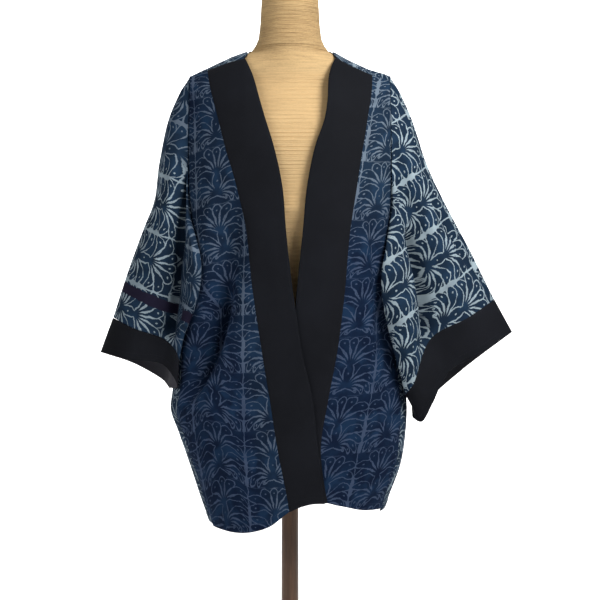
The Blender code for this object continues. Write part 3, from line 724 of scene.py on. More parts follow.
def back_grid():
    """Grid of the back panel, over the shoulders, and the columns of its neck edge."""
    top_left = back_edge(LEFT, 0.0)
    neck = math.pi - abs(front_angle(NECK_HALF_WIDTH, 0.0))
    full = 2 * math.pi
    before, after = neck - NECK_CORNER_TURN, neck + NECK_CORNER_TURN
    top = np.concatenate([np.linspace(top_left, before, SHOULDER_COLUMNS),
                          np.linspace(after, full - after, NECK_COLUMNS),
                          np.linspace(full - before, full - top_left, SHOULDER_COLUMNS)])
    share = ((top - top_left) / (full - 2 * top_left))[None, :]
    power = FRONT_ROUND_POWER
    rows = finer(np.array(BACK_ROWS) * MM, cloth().grid_step)[:, None]
    joined = np.argmin(np.abs(rows[:, 0] - LOWER_ROWS[0] * MM))
    reach = np.sign(rows) * np.abs(rows) ** power
    first, last = reach[0], reach[joined]
    across = body_surface(top, 0.0)[..., 0][None, :]
    start = np.where(np.abs(across) < NECK_HALF_WIDTH, neckline_drop(across) ** power,
                     -(seam_fall(across) - BACK_ROWS[0] * MM) ** power)
    reach = np.where(reach < last, start + (reach - first) * (last - start) / (last - first),
                     reach + 0 * share)
    rows = np.sign(reach) * np.abs(reach) ** (1 / power)
    drop = np.abs(rows)
    for _ in range(ROW_PASSES):
        left, right = back_edge(LEFT, drop), full - back_edge(RIGHT, drop)
        angle = left + (right - left) * share
        across = body_surface(angle, drop)[..., 0]
        drop = lean_to_hem(BACK_HEM, across, np.abs(rows))
    # the strip before the shoulder line widens to the front bands' top corners
    over_front = rows < 0
    across = body_surface(angle, drop, over_front)[..., 0]
    seam = seam_fall(np.sign(across) * NECK_HALF_WIDTH) - BACK_ROWS[0] * MM
    corner = by_side(across, lambda side: side * band_edge(side, "inner", seam))
    push = (corner - NECK_HALF_WIDTH) * np.minimum(drop / seam, 1) * (
        1 - step(*STRIP_WIDENS, np.abs(across)))
    pushed = math.pi - front_angle(across + np.sign(across) * push, drop)
    angle = np.where(over_front, pushed, angle)
    neck_edge = slice(SHOULDER_COLUMNS - 1, SHOULDER_COLUMNS + NECK_COLUMNS + 1)
    return body_surface(angle, drop, over_front), neck_edge


def sleeve_row(side, row):
    """The nine control points round a sleeve at one row of its table."""
    over, valley, roll, crease, under = (np.array(line) * MM for line in (
        row.over, row.valley, row.roll, row.crease, row.under))
    front, back = row.front * MM, row.back * MM

    def between(a, b, share):
        return a[:2] + (b[:2] - a[:2]) * share

    points = [
        (*over, 0),
        (*between(over, valley, FRONT_SHARE), front),
        valley,
        roll,
        crease,
        (row.corner * MM, (under[1] + crease[1]) / 2, crease[2] * CORNER_DEPTH),
        (*under, 0),
        (*between(under, over, BACK_SHARES[0]), back * BACK_LOW_DEPTH),
        (*between(under, over, BACK_SHARES[1]), back),
    ]
    return [(side * across, depth, NECK_POINT_HEIGHT - drop) for across, drop, depth in points]


def armhole_row(side):
    """The nine control points of a sleeve where it is sewn to the body."""
    out = np.array([side * ARMHOLE_GAP, 0, 0])
    front = [body_surface(front_edge(side, d), d) for d in ARMHOLE_FRONT_DROPS]
    back = [body_surface(side * back_edge(side, d), d) for d in ARMHOLE_BACK_DROPS]
    top = body_surface(side * back_edge(side, 0.0), 0.0)
    for point in front[1:]:
        point[1] -= ROLL_START_LIFT
    back[0][1] += ROLL_START_LIFT
    under = np.array([side * half_width(side, UNDERARM_DROP), 0,
                      NECK_POINT_HEIGHT - UNDERARM_DROP - UNDERARM_EASE])
    return [point + out for point in (top, *front, under, *back)]


def loop_through(controls, per_span):
    """Closed smooth loops through rows of control points, per_span points from one to the next."""
    loops = []
    for points in controls:
        wrapped = np.concatenate([points[-2:], points, points[:3]])
        knots = np.concatenate([[0], np.cumsum(np.linalg.norm(np.diff(wrapped, axis=0), axis=1)
                                               ** 0.5)])
        at = [knots[i + 2] + (knots[i + 3] - knots[i + 2]) * t / per_span
              for i in range(len(points)) for t in range(per_span)]
        loops.append(smooth(knots, wrapped, at))
    return np.array(loops)


def sleeve_controls(side):
    table = SLEEVE_LEFT if side == LEFT else SLEEVE_RIGHT
    return np.array([armhole_row(side)] + [sleeve_row(side, row) for row in table])


def cuff_grid(side):
    """Grid of a cuff, from the sleeve's last row to the cuff's hem."""
    seam = sleeve_controls(side)[-1]
    hem = np.array(sleeve_row(side, CUFF_HEM_LEFT if side == LEFT else CUFF_HEM_RIGHT))
    length = np.linalg.norm(hem - seam, axis=1).mean()
    rows = np.linspace(CUFF_SEAM_GAP[side] / length, 1, CUFF_ROWS)[:, None, None]
    return loop_through(seam + (hem - seam) * rows, CUFF_SPAN)


def form_sections():
    """The form's table with its shoulder rings, which follow the cloth's shoulder line."""
    sections = list(FORM)
    clearance = FORM_CLEARANCE * math.hypot(1, SHOULDER_SLOPE)
    for i, drop in enumerate(FORM_SHOULDER_DROPS):
        t = i / (len(FORM_SHOULDER_DROPS) - 1)
        half = (SHOULDER_START + (drop * MM - SHOULDER_START_DROP - clearance)
                / SHOULDER_SLOPE) / MM - FORM_NECK_EASE * (1 - t)
        front, back, power = (a + (b - a) * t for a, b in (
            FORM_SHOULDER_FRONT, FORM_SHOULDER_BACK, FORM_SHOULDER_POWER))
        sections.append(Section(drop, half, front, back, power))
    return sorted(sections)


def form_points(drop, angle, inset):
    """Points on the form at drops and angles, moved inwards along its surface's normal."""
    drop, angle = np.broadcast_arrays(drop, angle)
    table = form_sections()
    drops = [section.drop * MM for section in table]

    def at(name, scale, where):
        return np.interp(where, drops, [getattr(section, name) * scale for section in table])

    def place(where):
        power = at("power", 1, where)
        half = at("half", MM, where)
        depth = np.where(np.cos(angle) > 0, at("front", MM, where), at("back", MM, where))
        sine, cosine = np.sin(angle), np.cos(angle)
        x = half * np.sign(sine) * np.abs(sine) ** (2 / power)
        y = -depth * np.sign(cosine) * np.abs(cosine) ** (2 / power)
        full = plateau(NECK_COLUMN_STARTS, NECK_COLUMN_ENDS, where)
        size = NECK_COLUMN_SHRINK + (1 - NECK_COLUMN_SHRINK) * full
        share = size / np.hypot(x / NECK_COLUMN_HALF, y / NECK_COLUMN_DEPTH)
        wider = (1 + share ** NECK_BLEND) ** (1 / NECK_BLEND)
        return np.stack([x * wider, y * wider, NECK_POINT_HEIGHT - where], axis=-1)

    # the slopes down and round come from two places close by
    reach, turn = 3 * MM, 0.01
    point = place(drop)
    down = place(drop + reach) - place(drop - reach)
    angle = angle + turn
    around = place(drop) - point
    normal = np.cross(around, -down)
    normal /= np.linalg.norm(normal, axis=-1, keepdims=True)
    outward = np.sign((normal[..., :2] * point[..., :2]).sum(-1))[..., None]
    return point - normal * outward * inset


def cloth():
    return bpy.context.scene.kimono_cloth


def mesh(name, points, edges, faces):
    data = bpy.data.meshes.new(name)
    data.from_pydata(points, edges, faces)
    return data


def linked(name, data):
    """New object of that data, in the scene."""
    made = bpy.data.objects.new(name, data)
    bpy.context.scene.collection.objects.link(made)
    return made


def grid_normals(grid, ring):
    """Unit normals of a grid of points."""
    if ring:
        around = (np.roll(grid, -1, axis=1) - np.roll(grid, 1, axis=1)) / 2
    else:
        around = np.gradient(grid, axis=1)
    normal = np.cross(np.gradient(grid, axis=0), around)
    return normal / np.linalg.norm(normal, axis=2, keepdims=True)


def outward_normals(grid, ring):
    """Unit normals that point away from a tube's middle, or from the body's axis."""
    normal = grid_normals(grid, ring)
    middle = grid.mean(axis=1, keepdims=True) if ring else grid * (0, 0, 1)
    return normal if (normal * (grid - middle)).sum() > 0 else -normal


def travelled(grid, axis):
    """Length of cloth from the grid's first row or column to each point."""
    steps = np.linalg.norm(np.diff(grid, axis=axis), axis=2)
    start = np.zeros_like(np.take(steps, [0], axis=axis))
    return np.concatenate([start, np.cumsum(steps, axis=axis)], axis=axis)


def rim_loops(rows, columns, ring):
    """The border of a grid as loops of (row, column), in the way its outer faces run."""
    if ring:
        return [[(0, c) for c in range(columns)],
                [(rows - 1, c) for c in reversed(range(columns))]]
    return [[(0, c) for c in range(columns - 1)] + [(r, columns - 1) for r in range(rows - 1)]
            + [(rows - 1, c) for c in range(columns - 1, 0, -1)]
            + [(r, 0) for r in range(rows - 1, 0, -1)]]


def shell(name, grid, uv, thickness, materials, ring=False, pale=None):
    """Closed shell of cloth along a grid, with a rounded rim and a UV map.

    uv has the map at each column's start and end, for the faces beside it. thickness is a
    number or one for each point. pale says how pale the print is at each point.
    """
    rows, columns = grid.shape[:2]
    normal = outward_normals(grid, ring)
    half = np.broadcast_to(np.asarray(thickness, float) / 2, (rows, columns))[..., None]
    count = rows * columns
    index = np.arange(count).reshape(rows, columns)
    points = [(grid + normal * half).reshape(-1, 3), (grid - normal * half).reshape(-1, 3)]
    uv_start, uv_end = uv
    last = columns if ring else columns - 1
    a, b = index[:-1, :last], np.roll(index, -1, axis=1)[:-1, :last]
    c, d = np.roll(index, -1, axis=1)[1:, :last], index[1:, :last]
    quads = np.stack([a, b, c, d], axis=-1).reshape(-1, 4)
    quad_uv = np.stack([uv_start[:-1, :last], uv_end[:-1, :last], uv_end[1:, :last],
                        uv_start[1:, :last]], axis=-2).reshape(-1, 4, 2)
    faces = [quads, quads[:, ::-1] + count]
    face_uv = [quad_uv, quad_uv[:, ::-1]]
    slots = [np.zeros(len(quads), int), np.ones(len(quads), int)]
    base = 2 * count
    for loop in rim_loops(rows, columns, ring):
        r, c = np.array(loop).T
        inside_c = c if ring else np.clip(c, 1, columns - 2)
        out = grid[r, c] - grid[np.clip(r, 1, rows - 2), inside_c]
        out -= normal[r, c] * (out * normal[r, c]).sum(1, keepdims=True)
        out /= np.linalg.norm(out, axis=1, keepdims=True)
        lines = [index[r, c]]
        for turn in RIM_TURNS:
            side = math.pi * turn
            points.append(grid[r, c] + half[r, c] * (
                normal[r, c] * math.cos(side) + out * math.sin(side)))
            lines.append(base + np.arange(len(r)))
            base += len(r)
        lines.append(index[r, c] + count)
        for near, far in zip(lines, lines[1:]):
            strip = np.stack([np.roll(near, -1), near, far, np.roll(far, -1)], axis=1)
            here = uv_start[r, np.minimum(c, uv_start.shape[1] - 1)]
            after = np.roll(here, -1, axis=0)
            faces.append(strip)
            face_uv.append(np.stack([after, here, here, after], axis=1))
            slots.append(np.zeros(len(r), int))
    points, faces = np.concatenate(points), np.concatenate(faces)
    face_uv, slots = np.concatenate(face_uv), np.concatenate(slots)
    corners = points[faces]
    volume = sum(np.einsum("ij,ij->i", corners[:, 0], np.cross(corners[:, i], corners[:, i + 1]))
                 for i in (1, 2)).sum()
    if volume < 0:
        faces, face_uv = faces[:, ::-1], face_uv[:, ::-1]
    data = mesh(name, points.tolist(), [], faces.tolist())
    data.uv_layers.new(name="cut").data.foreach_set("uv", face_uv.ravel())
    data.polygons.foreach_set("material_index", slots)
    if pale is not None:
        both = np.concatenate([pale.ravel(), pale.ravel()])
        full = np.zeros(len(points))
        full[:len(both)] = both
        data.attributes.new("pale", "FLOAT", "POINT").data.foreach_set("value", full)
    data.shade_smooth()
    for material in materials:
        data.materials.append(material)
    return linked(name, data)


def plain_uv(across, along):
    """Start and end maps of an open grid, from two numbers at each point."""
    uv = np.stack([across, along], axis=-1)
    return uv, np.concatenate([uv[:, 1:], uv[:, -1:]], axis=1)


def turned_hem(grid, thickness):
    """Thickness of cloth whose last rows are turned under."""
    hem = cloth().turned_hem
    left = travelled(grid[::-1], 0)[::-1]
    return thickness * (1 + HEM_EXTRA * (1 - step(hem * HEM_EDGE, hem, left)))


def add(tree, kind, settings=None, inputs=None, **named):
    """Adds a node, sets it up, and then fills or links its sockets.

    named has sockets by name, where _ stands for a blank.
    """
    made = tree.nodes.new(kind)
    for name, value in (settings or {}).items():
        setattr(made, name, value)
    for key, value in (inputs or {}).items():
        feed(tree, made.inputs[key], value)
    for name, value in named.items():
        feed(tree, made.inputs[name.replace("_", " ")], value)
    return made


def feed(tree, socket, value):
    """Links a value or output to a socket, or sets a plain number or colour on it."""
    if isinstance(value, Value):
        value = value.socket
    if isinstance(value, bpy.types.NodeSocket):
        tree.links.new(value, socket)
    elif socket.type == "RGBA":
        socket.default_value = (*value, 1)
    else:
        socket.default_value = value


class Value:
    """A shader socket that holds a number. Python operators on it add Math nodes."""

    def __init__(self, shader, socket):
        self.shader, self.socket = shader, socket

    def __rsub__(self, other):
        return self.shader.maths("SUBTRACT", other, self)

    def rise(self, start, end):
        """Smooth step from 0 at start to 1 at end."""
        node = self.shader.node("ShaderNodeMapRange", {"interpolation_type": "SMOOTHSTEP"},
                                {"Value": self, "From Min": start, "From Max": end})
        return Value(self.shader, node.outputs["Result"])


def value_method(operation):
    """Method of a value that adds one Math node."""
    def method(self, *others):
        return self.shader.maths(operation, self, *others)
    return method


# Python's operators and a few words of the values' own
for method_name, math_node in (
        ("__add__", "ADD"), ("__radd__", "ADD"), ("__sub__", "SUBTRACT"), ("__mul__", "MULTIPLY"),
        ("__truediv__", "DIVIDE"), ("__lt__", "LESS_THAN"), ("__gt__", "GREATER_THAN"),
        ("least", "MINIMUM"), ("most", "MAXIMUM"), ("size", "ABSOLUTE"), ("floor", "FLOOR")):
    setattr(Value, method_name, value_method(math_node))


class Shader:
    """Builds one material's node tree."""

    def __init__(self, name):
        self.material = bpy.data.materials.new(name)
        self.material.use_nodes = True
        self.tree = self.material.node_tree

    def node(self, kind, settings=None, inputs=None, **named):
        return add(self.tree, kind, settings, inputs, **named)

    def maths(self, operation, *values):
        node = self.node("ShaderNodeMath", {"operation": operation}, dict(enumerate(values)))
        return Value(self, node.outputs[0])

    def length(self, x, y):
        return self.maths("SQRT", x * x + y * y)

    def mix(self, share, low, high):
        """Colour between two colours."""
        node = self.node("ShaderNodeMix", {"data_type": "RGBA"}, {0: share, 6: low, 7: high})
        return node.outputs[2]

    def place(self):
        """Place in the object's own space."""
        return self.node("ShaderNodeTexCoord").outputs["Object"]

    def noise(self, place, scale, detail=2.0):
        node = self.node("ShaderNodeTexNoise", Vector=place, Scale=scale, Detail=detail)
        return Value(self, node.outputs["Fac"])

    def jitter(self, place, kind):
        """Unsteady shifts across and along."""
        node = self.node("ShaderNodeTexNoise", Vector=place, Scale=kind.scale, Detail=1.0)
        return [(part - 0.5) * kind.reach for part in self.split(node.outputs["Color"])[:2]]

    def grain(self, place, scale, detail=2.0):
        """Noise with its own scale in each direction."""
        node = self.node("ShaderNodeVectorMath", {"operation": "MULTIPLY"}, {0: place, 1: scale})
        return self.noise(node.outputs[0], 1.0, detail)

    def split(self, place):
        node = self.node("ShaderNodeSeparateXYZ", None, {0: place})
        return [Value(self, socket) for socket in node.outputs]

    def bump(self, height, distance, strength):
        return self.node("ShaderNodeBump", Strength=strength, Distance=distance,
                         Height=height).outputs[0]

    def set(self, **inputs):
        """Fills the surface's sockets; _ stands for a blank in a socket's name."""
        surface = self.tree.nodes["Principled BSDF"]
        for name, value in inputs.items():
            feed(self.tree, surface.inputs[name.replace("_", " ")], value)
        return self.material


def frond_pattern(shader, x, y, fan, stroke):
    """Distance outside the fronds of one fan, in millimetres, and the nearest frond's dot."""
    up = y - fan.base
    radius = shader.length(x, up)
    angle = shader.maths("ARCTAN2", x, up)
    spread = radius * radius * (fan.droop / FAN_REACH ** 2) + 1
    pitch = spread * math.radians(fan.spacing)
    turn = angle / pitch
    frond = (turn + (0.5 - fan.stem)).floor().least(len(fan.lengths) - 1).most(0)
    stem = (frond > 0.5) * fan.stem
    length = fan.lengths[0]
    for i, (shorter, longer) in enumerate(zip(fan.lengths, fan.lengths[1:])):
        length = length + (frond > i + 0.5) * (longer - shorter)
    neck = length - LOBE
    aside = (turn - frond - stem) * pitch * radius
    inner = radius.least(neck)
    inner_pitch = (inner * inner * (fan.droop / FAN_REACH ** 2) + 1) * math.radians(fan.spacing)
    slit = inner.rise(*SLIT_OPENS) * (stroke / 2 + SLIT_EXTRA)
    slit = slit - inner.rise(*SLIT_NARROWS) * SLIT_LOSS - SLIT_START
    half = (inner_pitch * inner * (0.5 + fan.stem - stem) - slit).least(LOBE + LOBE_EASE)
    beyond = (radius - neck).most(0)
    outside = shader.length(beyond, aside) - half
    dot = shader.length(radius - neck + DOT_BACK, aside)
    return outside, dot


def print_masks(shader, place, block, stroke, share, joint=None):
    """Masks of the block print: pale strokes, blue fill and the plain joint.

    The lines between the blocks are wider where share, the paleness, is high.
    """
    width, height = block[0] / MM, block[1] / MM
    wobble_x, wobble_y = shader.jitter(place, WOBBLE)
    shake_x, shake_y = shader.jitter(place, SHAKE)
    across, along, _ = shader.split(place)
    across = across / MM + wobble_x + shake_x
    along = along / MM + wobble_y + shake_y
    plain = None
    if joint:
        start, wide = joint
        plain = (across > start) * (across < start + wide)
    across, along = across / width, along / height
    tall, wide = along.floor(), across.floor()
    x = ((across - wide - 0.5) * width).size()
    y = (along - tall) * height
    low, low_dot = frond_pattern(shader, x, y, LOW_FAN, stroke)
    high, high_dot = frond_pattern(shader, x, y, HIGH_FAN, stroke)
    outline = stroke * STROKE_SHARE
    upper = high < outline
    outside = high * upper + low * (1 - upper)
    dot = high_dot * upper + low_dot * (1 - upper)
    edge = width / 2 - x
    reach = outline + (1 - edge.rise(share * 1.2 + 1.4, share * 2.2 + 3.4)) * BEYOND_EDGE
    pale = outside.rise(*STROKE_EDGE) * (1 - (outside - reach).rise(0, STROKE_END))
    pale = pale.most(1 - edge.rise(share * 0.6 + 0.5, share * 0.6 + 1.2))
    not_stem = 1 - (1 - x.rise(*STEM_SIDE)) * y.rise(*STEM_FOOT) * (1 - y.rise(*STEM_TOP))
    dots = (1 - dot.rise(*DOT_SIZE)) * not_stem
    stem_dot = 1 - shader.length(x, y - LOW_FAN.base - STEM_DOT).rise(*DOT_SIZE)
    broken = shader.noise(place, 55.0).rise(0.38, 0.55)
    row_line = (1 - y.least(height - y).rise(*ROW_LINE)) * broken * (share * 0.5 + 0.3)
    pale = (pale * not_stem).most(dots * (outside < 0)).most(stem_dot).most(row_line)
    fill = shader.noise(place, 30.0).rise(0.42, 0.62)
    fill = fill * (1 - (y - FILL_MIDDLE).size().rise(*FILL_REACH) * 0.7)
    if plain:
        pale = pale * (1 - plain)
    return pale, fill, plain


def print_material(name, strength, joint=None):
    """Block-printed indigo cotton, whose strokes follow the cloth's attribute "pale"."""
    settings = bpy.context.scene.kimono_print
    shader = Shader(name)
    place = shader.node("ShaderNodeUVMap", {"uv_map": "cut"}).outputs[0]
    attribute = shader.node("ShaderNodeAttribute", {"attribute_name": "pale"})
    share = Value(shader, attribute.outputs["Fac"])
    block = (settings.block_width, settings.block_height)
    pale, fill, plain = print_masks(shader, place, block, settings.stroke, share, joint)
    blotch = shader.noise(place, 45.0, 4.0)
    fibres = shader.grain(place, (900, 900, 1))
    ground = shader.mix(fill * 0.8, settings.indigo, settings.blue)
    ground = shader.mix(blotch.rise(0.3, 0.75) * 0.25, ground, settings.blue)
    ground = shader.mix((share * 3).least(1) * 0.3, ground, settings.faded)
    strokes = pale * strength * (blotch.rise(0.2, 0.6) * 0.35 + 0.65)
    colour = shader.mix(strokes, ground, shader.mix(share, settings.worn, settings.cream))
    if plain:
        colour = shader.mix(plain, colour, settings.joint)
    threads = shader.grain(place, (2200, 500, 1), 1.0)
    height = fibres * 0.5 + threads * 0.5 + pale * 0.1
    return shader.set(Base_Color=colour, Roughness=fibres * 0.12 + 0.80,
                      Normal=shader.bump(height, 0.0004, 0.35), Specular_IOR_Level=0.05)


def black_material(name, colour):
    """Plain black crepe."""
    shader = Shader(name)
    place = shader.place()
    crepe = shader.grain(place, (700, 700, 1100), 3.0)
    drift = shader.noise(place, 7.0, 3.0)
    dark = tuple(part * 0.7 for part in colour)
    light = tuple(part * 1.45 for part in colour)
    shade = shader.mix((drift * 0.6 + crepe * 0.4).rise(0.3, 0.75), dark, light)
    return shader.set(Base_Color=shade, Roughness=crepe * 0.15 + 0.74,
                      Normal=shader.bump(crepe, 0.0005, 0.4), Specular_IOR_Level=0.12)


def twine_material():
    """Jute twine in level turns."""
    settings = bpy.context.scene.kimono_form
    shader = Shader("wound_twine")
    place = shader.place()
    strands = shader.grain(place, (28, 28, 420))
    fibres = shader.grain(place, (260, 260, 1400))
    worn = shader.noise(place, 9.0, 3.0)
    tone = (strands * 0.4 + fibres * 0.35 + worn * 0.25).rise(0.25, 0.65)
    colour = shader.mix(tone, settings.twine_dark, settings.twine)
    height = shader.split(place)[2]
    # Painted light: the twine is made lighter below the neck, where more light falls on the chest.
    colour = shader.mix((1 - height.rise(1.33, 1.45)) * 0.4, colour, settings.twine_painted_light)
    return shader.set(Base_Color=colour, Roughness=fibres * 0.15 + 0.75,
                      Normal=shader.bump(fibres, 0.0008, 0.6), Specular_IOR_Level=0.25)


def wood_material():
    """Dark stained wood with an oiled finish."""
    settings = bpy.context.scene.kimono_form
    shader = Shader("stained_wood")
    place = shader.place()
    rings = shader.grain(place, (60, 60, 3), 4.0)
    pores = shader.grain(place, (900, 900, 30))
    tone = (rings * 0.75 + pores * 0.25).rise(0.35, 0.65)
    light = tuple(part * 2.1 for part in settings.wood)
    colour = shader.mix(tone, settings.wood, light)
    return shader.set(Base_Color=colour, Roughness=pores * 0.2 + 0.33,
                      Normal=shader.bump(pores, 0.0004, 0.3))


def shared(name, make, *values):
    """A material of that name, made once."""
    return bpy.data.materials.get(name) or make(name, *values)


def print_outer():
    return shared("block_print", print_material, PRINT_STRENGTH)


def print_with_joint():
    return shared("block_print_with_joint", print_material, PRINT_STRENGTH, JOINT)


def print_inside():
    return shared("block_print_wrong_side", print_material, WRONG_SIDE_STRENGTH)


def black_cloth():
    return shared("black_crepe", black_material, CREPE)


def dress(piece, node):
    """Ties a piece to the frame and hides the node that it stands for."""
    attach(piece, "root")
    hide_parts(node)


class KIMONO_OT_back_panel(Operator):
    """Back panel, over both shoulders"""
    bl_idname = "kimono.back_panel"
    bl_label = "Back panel"

    def execute(self, context):
        grid, _ = back_grid()
        middle = grid.shape[1] // 2
        around = travelled(grid, 1)
        around -= around[:, middle:middle + 1]
        down = travelled(grid, 0) - np.abs(grid[:1, :, 1]) + shoulder_drop(grid[:1, :, 0])
        before_ridge = 1 - step(*STRIP_FADE, grid[..., 1])
        uv = plain_uv(around, -down)
        thickness = turned_hem(grid, cloth().print_cloth)
        piece = shell("back_panel_cloth", grid, uv, thickness, (print_outer(), print_inside()),
                      pale=PALE_BODY + (PALE_STRIP - PALE_BODY) * before_ridge)
        dress(piece, "back_panel")
        return {"FINISHED"}


class KIMONO_OT_front_panels(Operator):
    """The two printed fronts"""
    bl_idname = "kimono.front_panels"
    bl_label = "Front panels"

    def execute(self, context):
        self.panel(RIGHT, (0.22, 0.87), 0.131)
        self.panel(LEFT, (0.16, 0.86), 0.095)
        return {"FINISHED"}

    def panel(self, side, cut, area):
        grid = front_panel_grid(side)
        place = FRONT_PRINTS[side]
        from_band = travelled(grid, 1)
        across = grid[:, :1, 0] + side * from_band
        down = travelled(grid, 0) + shoulder_drop(grid[0, :, 0])
        uv = plain_uv(across + place.lean * down + place.column * MM,
                      place.row * MM - down - place.lean * (across - LEAN_ABOUT))
        thickness = turned_hem(grid, cloth().print_cloth)
        if side == RIGHT:
            beside_band = 1 - step(*BESIDE_BAND_FADE, from_band)
            # Painted light: the right front's middle is made paler, lifting the shade that the lamps
            # leave there.
            middle = step(*RIGHT_MIDDLE_STARTS, down) - step(*RIGHT_MIDDLE_FADE, down)
            extra = np.maximum((PALE_BESIDE_BAND - PALE_BODY) * beside_band,
                               (PAINTED_LIGHT_RIGHT_MIDDLE - PALE_BODY) * middle)
        else:
            # Painted light: the left front's top is made paler, where more light falls.
            extra = (PAINTED_LIGHT_LEFT_TOP - PALE_BODY) * (1 - step(*LEFT_TOP_FADE, down))
        piece = shell("front_panel_%s_cloth" % SIDE_NAMES[side], grid, uv, thickness,
                      (print_outer(), print_inside()), pale=PALE_BODY + extra)
        dress(piece, "front_panel_" + SIDE_NAMES[side])


class KIMONO_OT_front_bands(Operator):
    """The two plain black front bands"""
    bl_idname = "kimono.front_bands"
    bl_label = "Front bands"

    def execute(self, context):
        for side in (RIGHT, LEFT):
            self.band(side)
        return {"FINISHED"}

    def band(self, side):
        grid = front_band_grid(side)
        uv = plain_uv(travelled(grid, 1), -travelled(grid, 0))
        piece = shell("front_band_%s_cloth" % SIDE_NAMES[side], grid, uv,
                      turned_hem(grid, cloth().band_cloth), (black_cloth(), black_cloth()))
        dress(piece, "front_band_" + SIDE_NAMES[side])


class KIMONO_OT_neck_band(Operator):
    """Narrow black strip on the back of the neck"""
    bl_idname = "kimono.neck_band"
    bl_label = "Neck band"

    def execute(self, context):
        grid, neck_edge = back_grid()
        edge = grid[0, neck_edge]
        lean = np.stack([-edge[:, 0] / NECK_HALF_WIDTH, -edge[:, 1] / NECK_BACK_DEPTH,
                         np.full(len(edge), BACK_BAND_RISE)], axis=1)
        lean /= np.linalg.norm(lean, axis=1, keepdims=True)
        from_middle = np.linspace(-1, 1, len(edge))[:, None]
        width = BACK_BAND_WIDTH * (1 - BACK_BAND_TAPER * from_middle ** 2)
        rows = np.array([edge + lean * (BACK_BAND_START + width * t)
                         for t in np.linspace(0, 1, BACK_BAND_ROWS)])
        uv = plain_uv(travelled(rows, 1), travelled(rows, 0))
        piece = shell("back_neck_band_cloth", rows, uv, cloth().band_cloth,
                      (black_cloth(), black_cloth()))
        dress(piece, "back_neck_band")
        return {"FINISHED"}


def around_map(grid, side, place):
    """UV maps of a tube of cloth, measured both ways from its overarm line to the underarm."""
    grain = math.radians(place.grain)
    along = np.array([side * math.sin(grain), 0, -math.cos(grain)])
    under = grid.shape[1] * UNDER_CONTROL // CONTROLS
    closed = np.concatenate([grid, grid[:, :1]], axis=1)
    start = (closed[:, 0] - closed[0, 0]) @ along
    way = side * -1

    def walk(line):
        steps = np.diff(line, axis=1)
        ahead = steps @ along
        aside = np.sqrt(np.maximum((steps ** 2).sum(-1) - ahead ** 2, 0))
        zero = np.zeros((len(line), 1))
        return (np.concatenate([zero, np.cumsum(ahead, axis=1)], axis=1) + start[:, None],
                np.concatenate([zero, np.cumsum(aside, axis=1)], axis=1))

    front_u, front_v = walk(closed[:, :under + 1])
    back_u, back_v = walk(closed[:, :under - 1:-1])
    front = np.stack([front_u, way * front_v], axis=-1)
    back = np.stack([back_u, -way * back_v], axis=-1)[:, ::-1]
    shift = np.array([place.column, place.row]) * MM
    scale = np.array([1, place.spread])
    starts = np.concatenate([front[:, :-1], back[:, :-1]], axis=1) * scale + shift
    ends = np.concatenate([front[:, 1:], back[:, 1:]], axis=1) * scale + shift
    return starts, ends


class KIMONO_OT_sleeves(Operator):
    """The two wide printed sleeves"""
    bl_idname = "kimono.sleeves"
    bl_label = "Sleeves"

    def execute(self, context):
        for side in (RIGHT, LEFT):
            self.sleeve(side)
        return {"FINISHED"}

    def sleeve(self, side):
        controls = sleeve_controls(side)
        rows = np.linspace(0, len(controls) - 1, SLEEVE_ROWS)
        grid = loop_through(smooth(range(len(controls)), controls, rows), SLEEVE_SPAN)
        name = "sleeve_" + SIDE_NAMES[side]
        place = SLEEVE_PRINTS[side]
        starts, _ = around_map(grid, side, place._replace(column=0, row=0, spread=1))
        uv = around_map(grid, side, place)
        share = (rows / rows[-1])[:, None]
        height = folds(SLEEVE_CREASES[side], side * -starts[..., 1], starts[..., 0])
        height = height * plateau(CREASE_STARTS, CREASE_ENDS, share)
        puff = SHOULDER_PUFF * plateau(PUFF_RISES, PUFF_FALLS, share)
        height = height + puff * np.exp(-(starts[..., 1] / PUFF_WIDTH) ** 2)
        crevice = CREVICES[side]
        around = travelled(grid, 1)
        aside = around - around[:, [round(crevice.place * SLEEVE_SPAN)]]
        inside = np.exp(-(aside / (crevice.width * MM)) ** 2) * plateau(
            (crevice.start, crevice.full), CREVICE_ENDS, share)
        height = height - crevice.depth * MM * inside
        grid = grid + outward_normals(grid, True) * height[..., None]
        grid[..., 0] -= side * crevice.under * MM * inside
        pale = np.ones(grid.shape[:2])
        if side == RIGHT:
            drop = NECK_POINT_HEIGHT - grid[..., 2]
            low = step(*RIGHT_SLEEVE_STARTS, drop)
            pale = PALE_SHOULDER + (PALE_RIGHT_SLEEVE - PALE_SHOULDER) * low
            control = np.arange(grid.shape[1])[None, :] / SLEEVE_SPAN
            pale = pale + (PALE_ROLL - pale) * plateau(ROLL_STARTS, ROLL_FADE, control)
        piece = shell(name + "_cloth", grid, uv, cloth().print_cloth,
                      (print_with_joint() if side == RIGHT else print_outer(), print_inside()),
                      ring=True, pale=pale)
        dress(piece, name)


class KIMONO_OT_cuffs(Operator):
    """The two plain black cuffs"""
    bl_idname = "kimono.cuffs"
    bl_label = "Cuffs"

    def execute(self, context):
        for side in (RIGHT, LEFT):
            self.cuff(side)
        return {"FINISHED"}

    def cuff(self, side):
        grid = cuff_grid(side)
        name = "cuff_" + SIDE_NAMES[side]
        uv = around_map(grid, side, CUFF_MAP)
        inside = shared("crepe_wrong_side", black_material, CREPE_WRONG_SIDE)
        piece = shell(name + "_cloth", grid, uv, cloth().band_cloth * CUFF_CLOTH,
                      (black_cloth(), inside), ring=True)
        dress(piece, name)


def node_tree(name, inputs):
    """Geometry tree with named inputs; gives the tree, its input node and its output node."""
    tree = bpy.data.node_groups.new(name, "GeometryNodeTree")
    tree.interface.new_socket("Geometry", in_out="INPUT", socket_type="NodeSocketGeometry")
    for label, kind in inputs:
        tree.interface.new_socket(label, in_out="INPUT", socket_type=kind)
    tree.interface.new_socket("Geometry", in_out="OUTPUT", socket_type="NodeSocketGeometry")
    return tree, tree.nodes.new("NodeGroupInput"), tree.nodes.new("NodeGroupOutput")


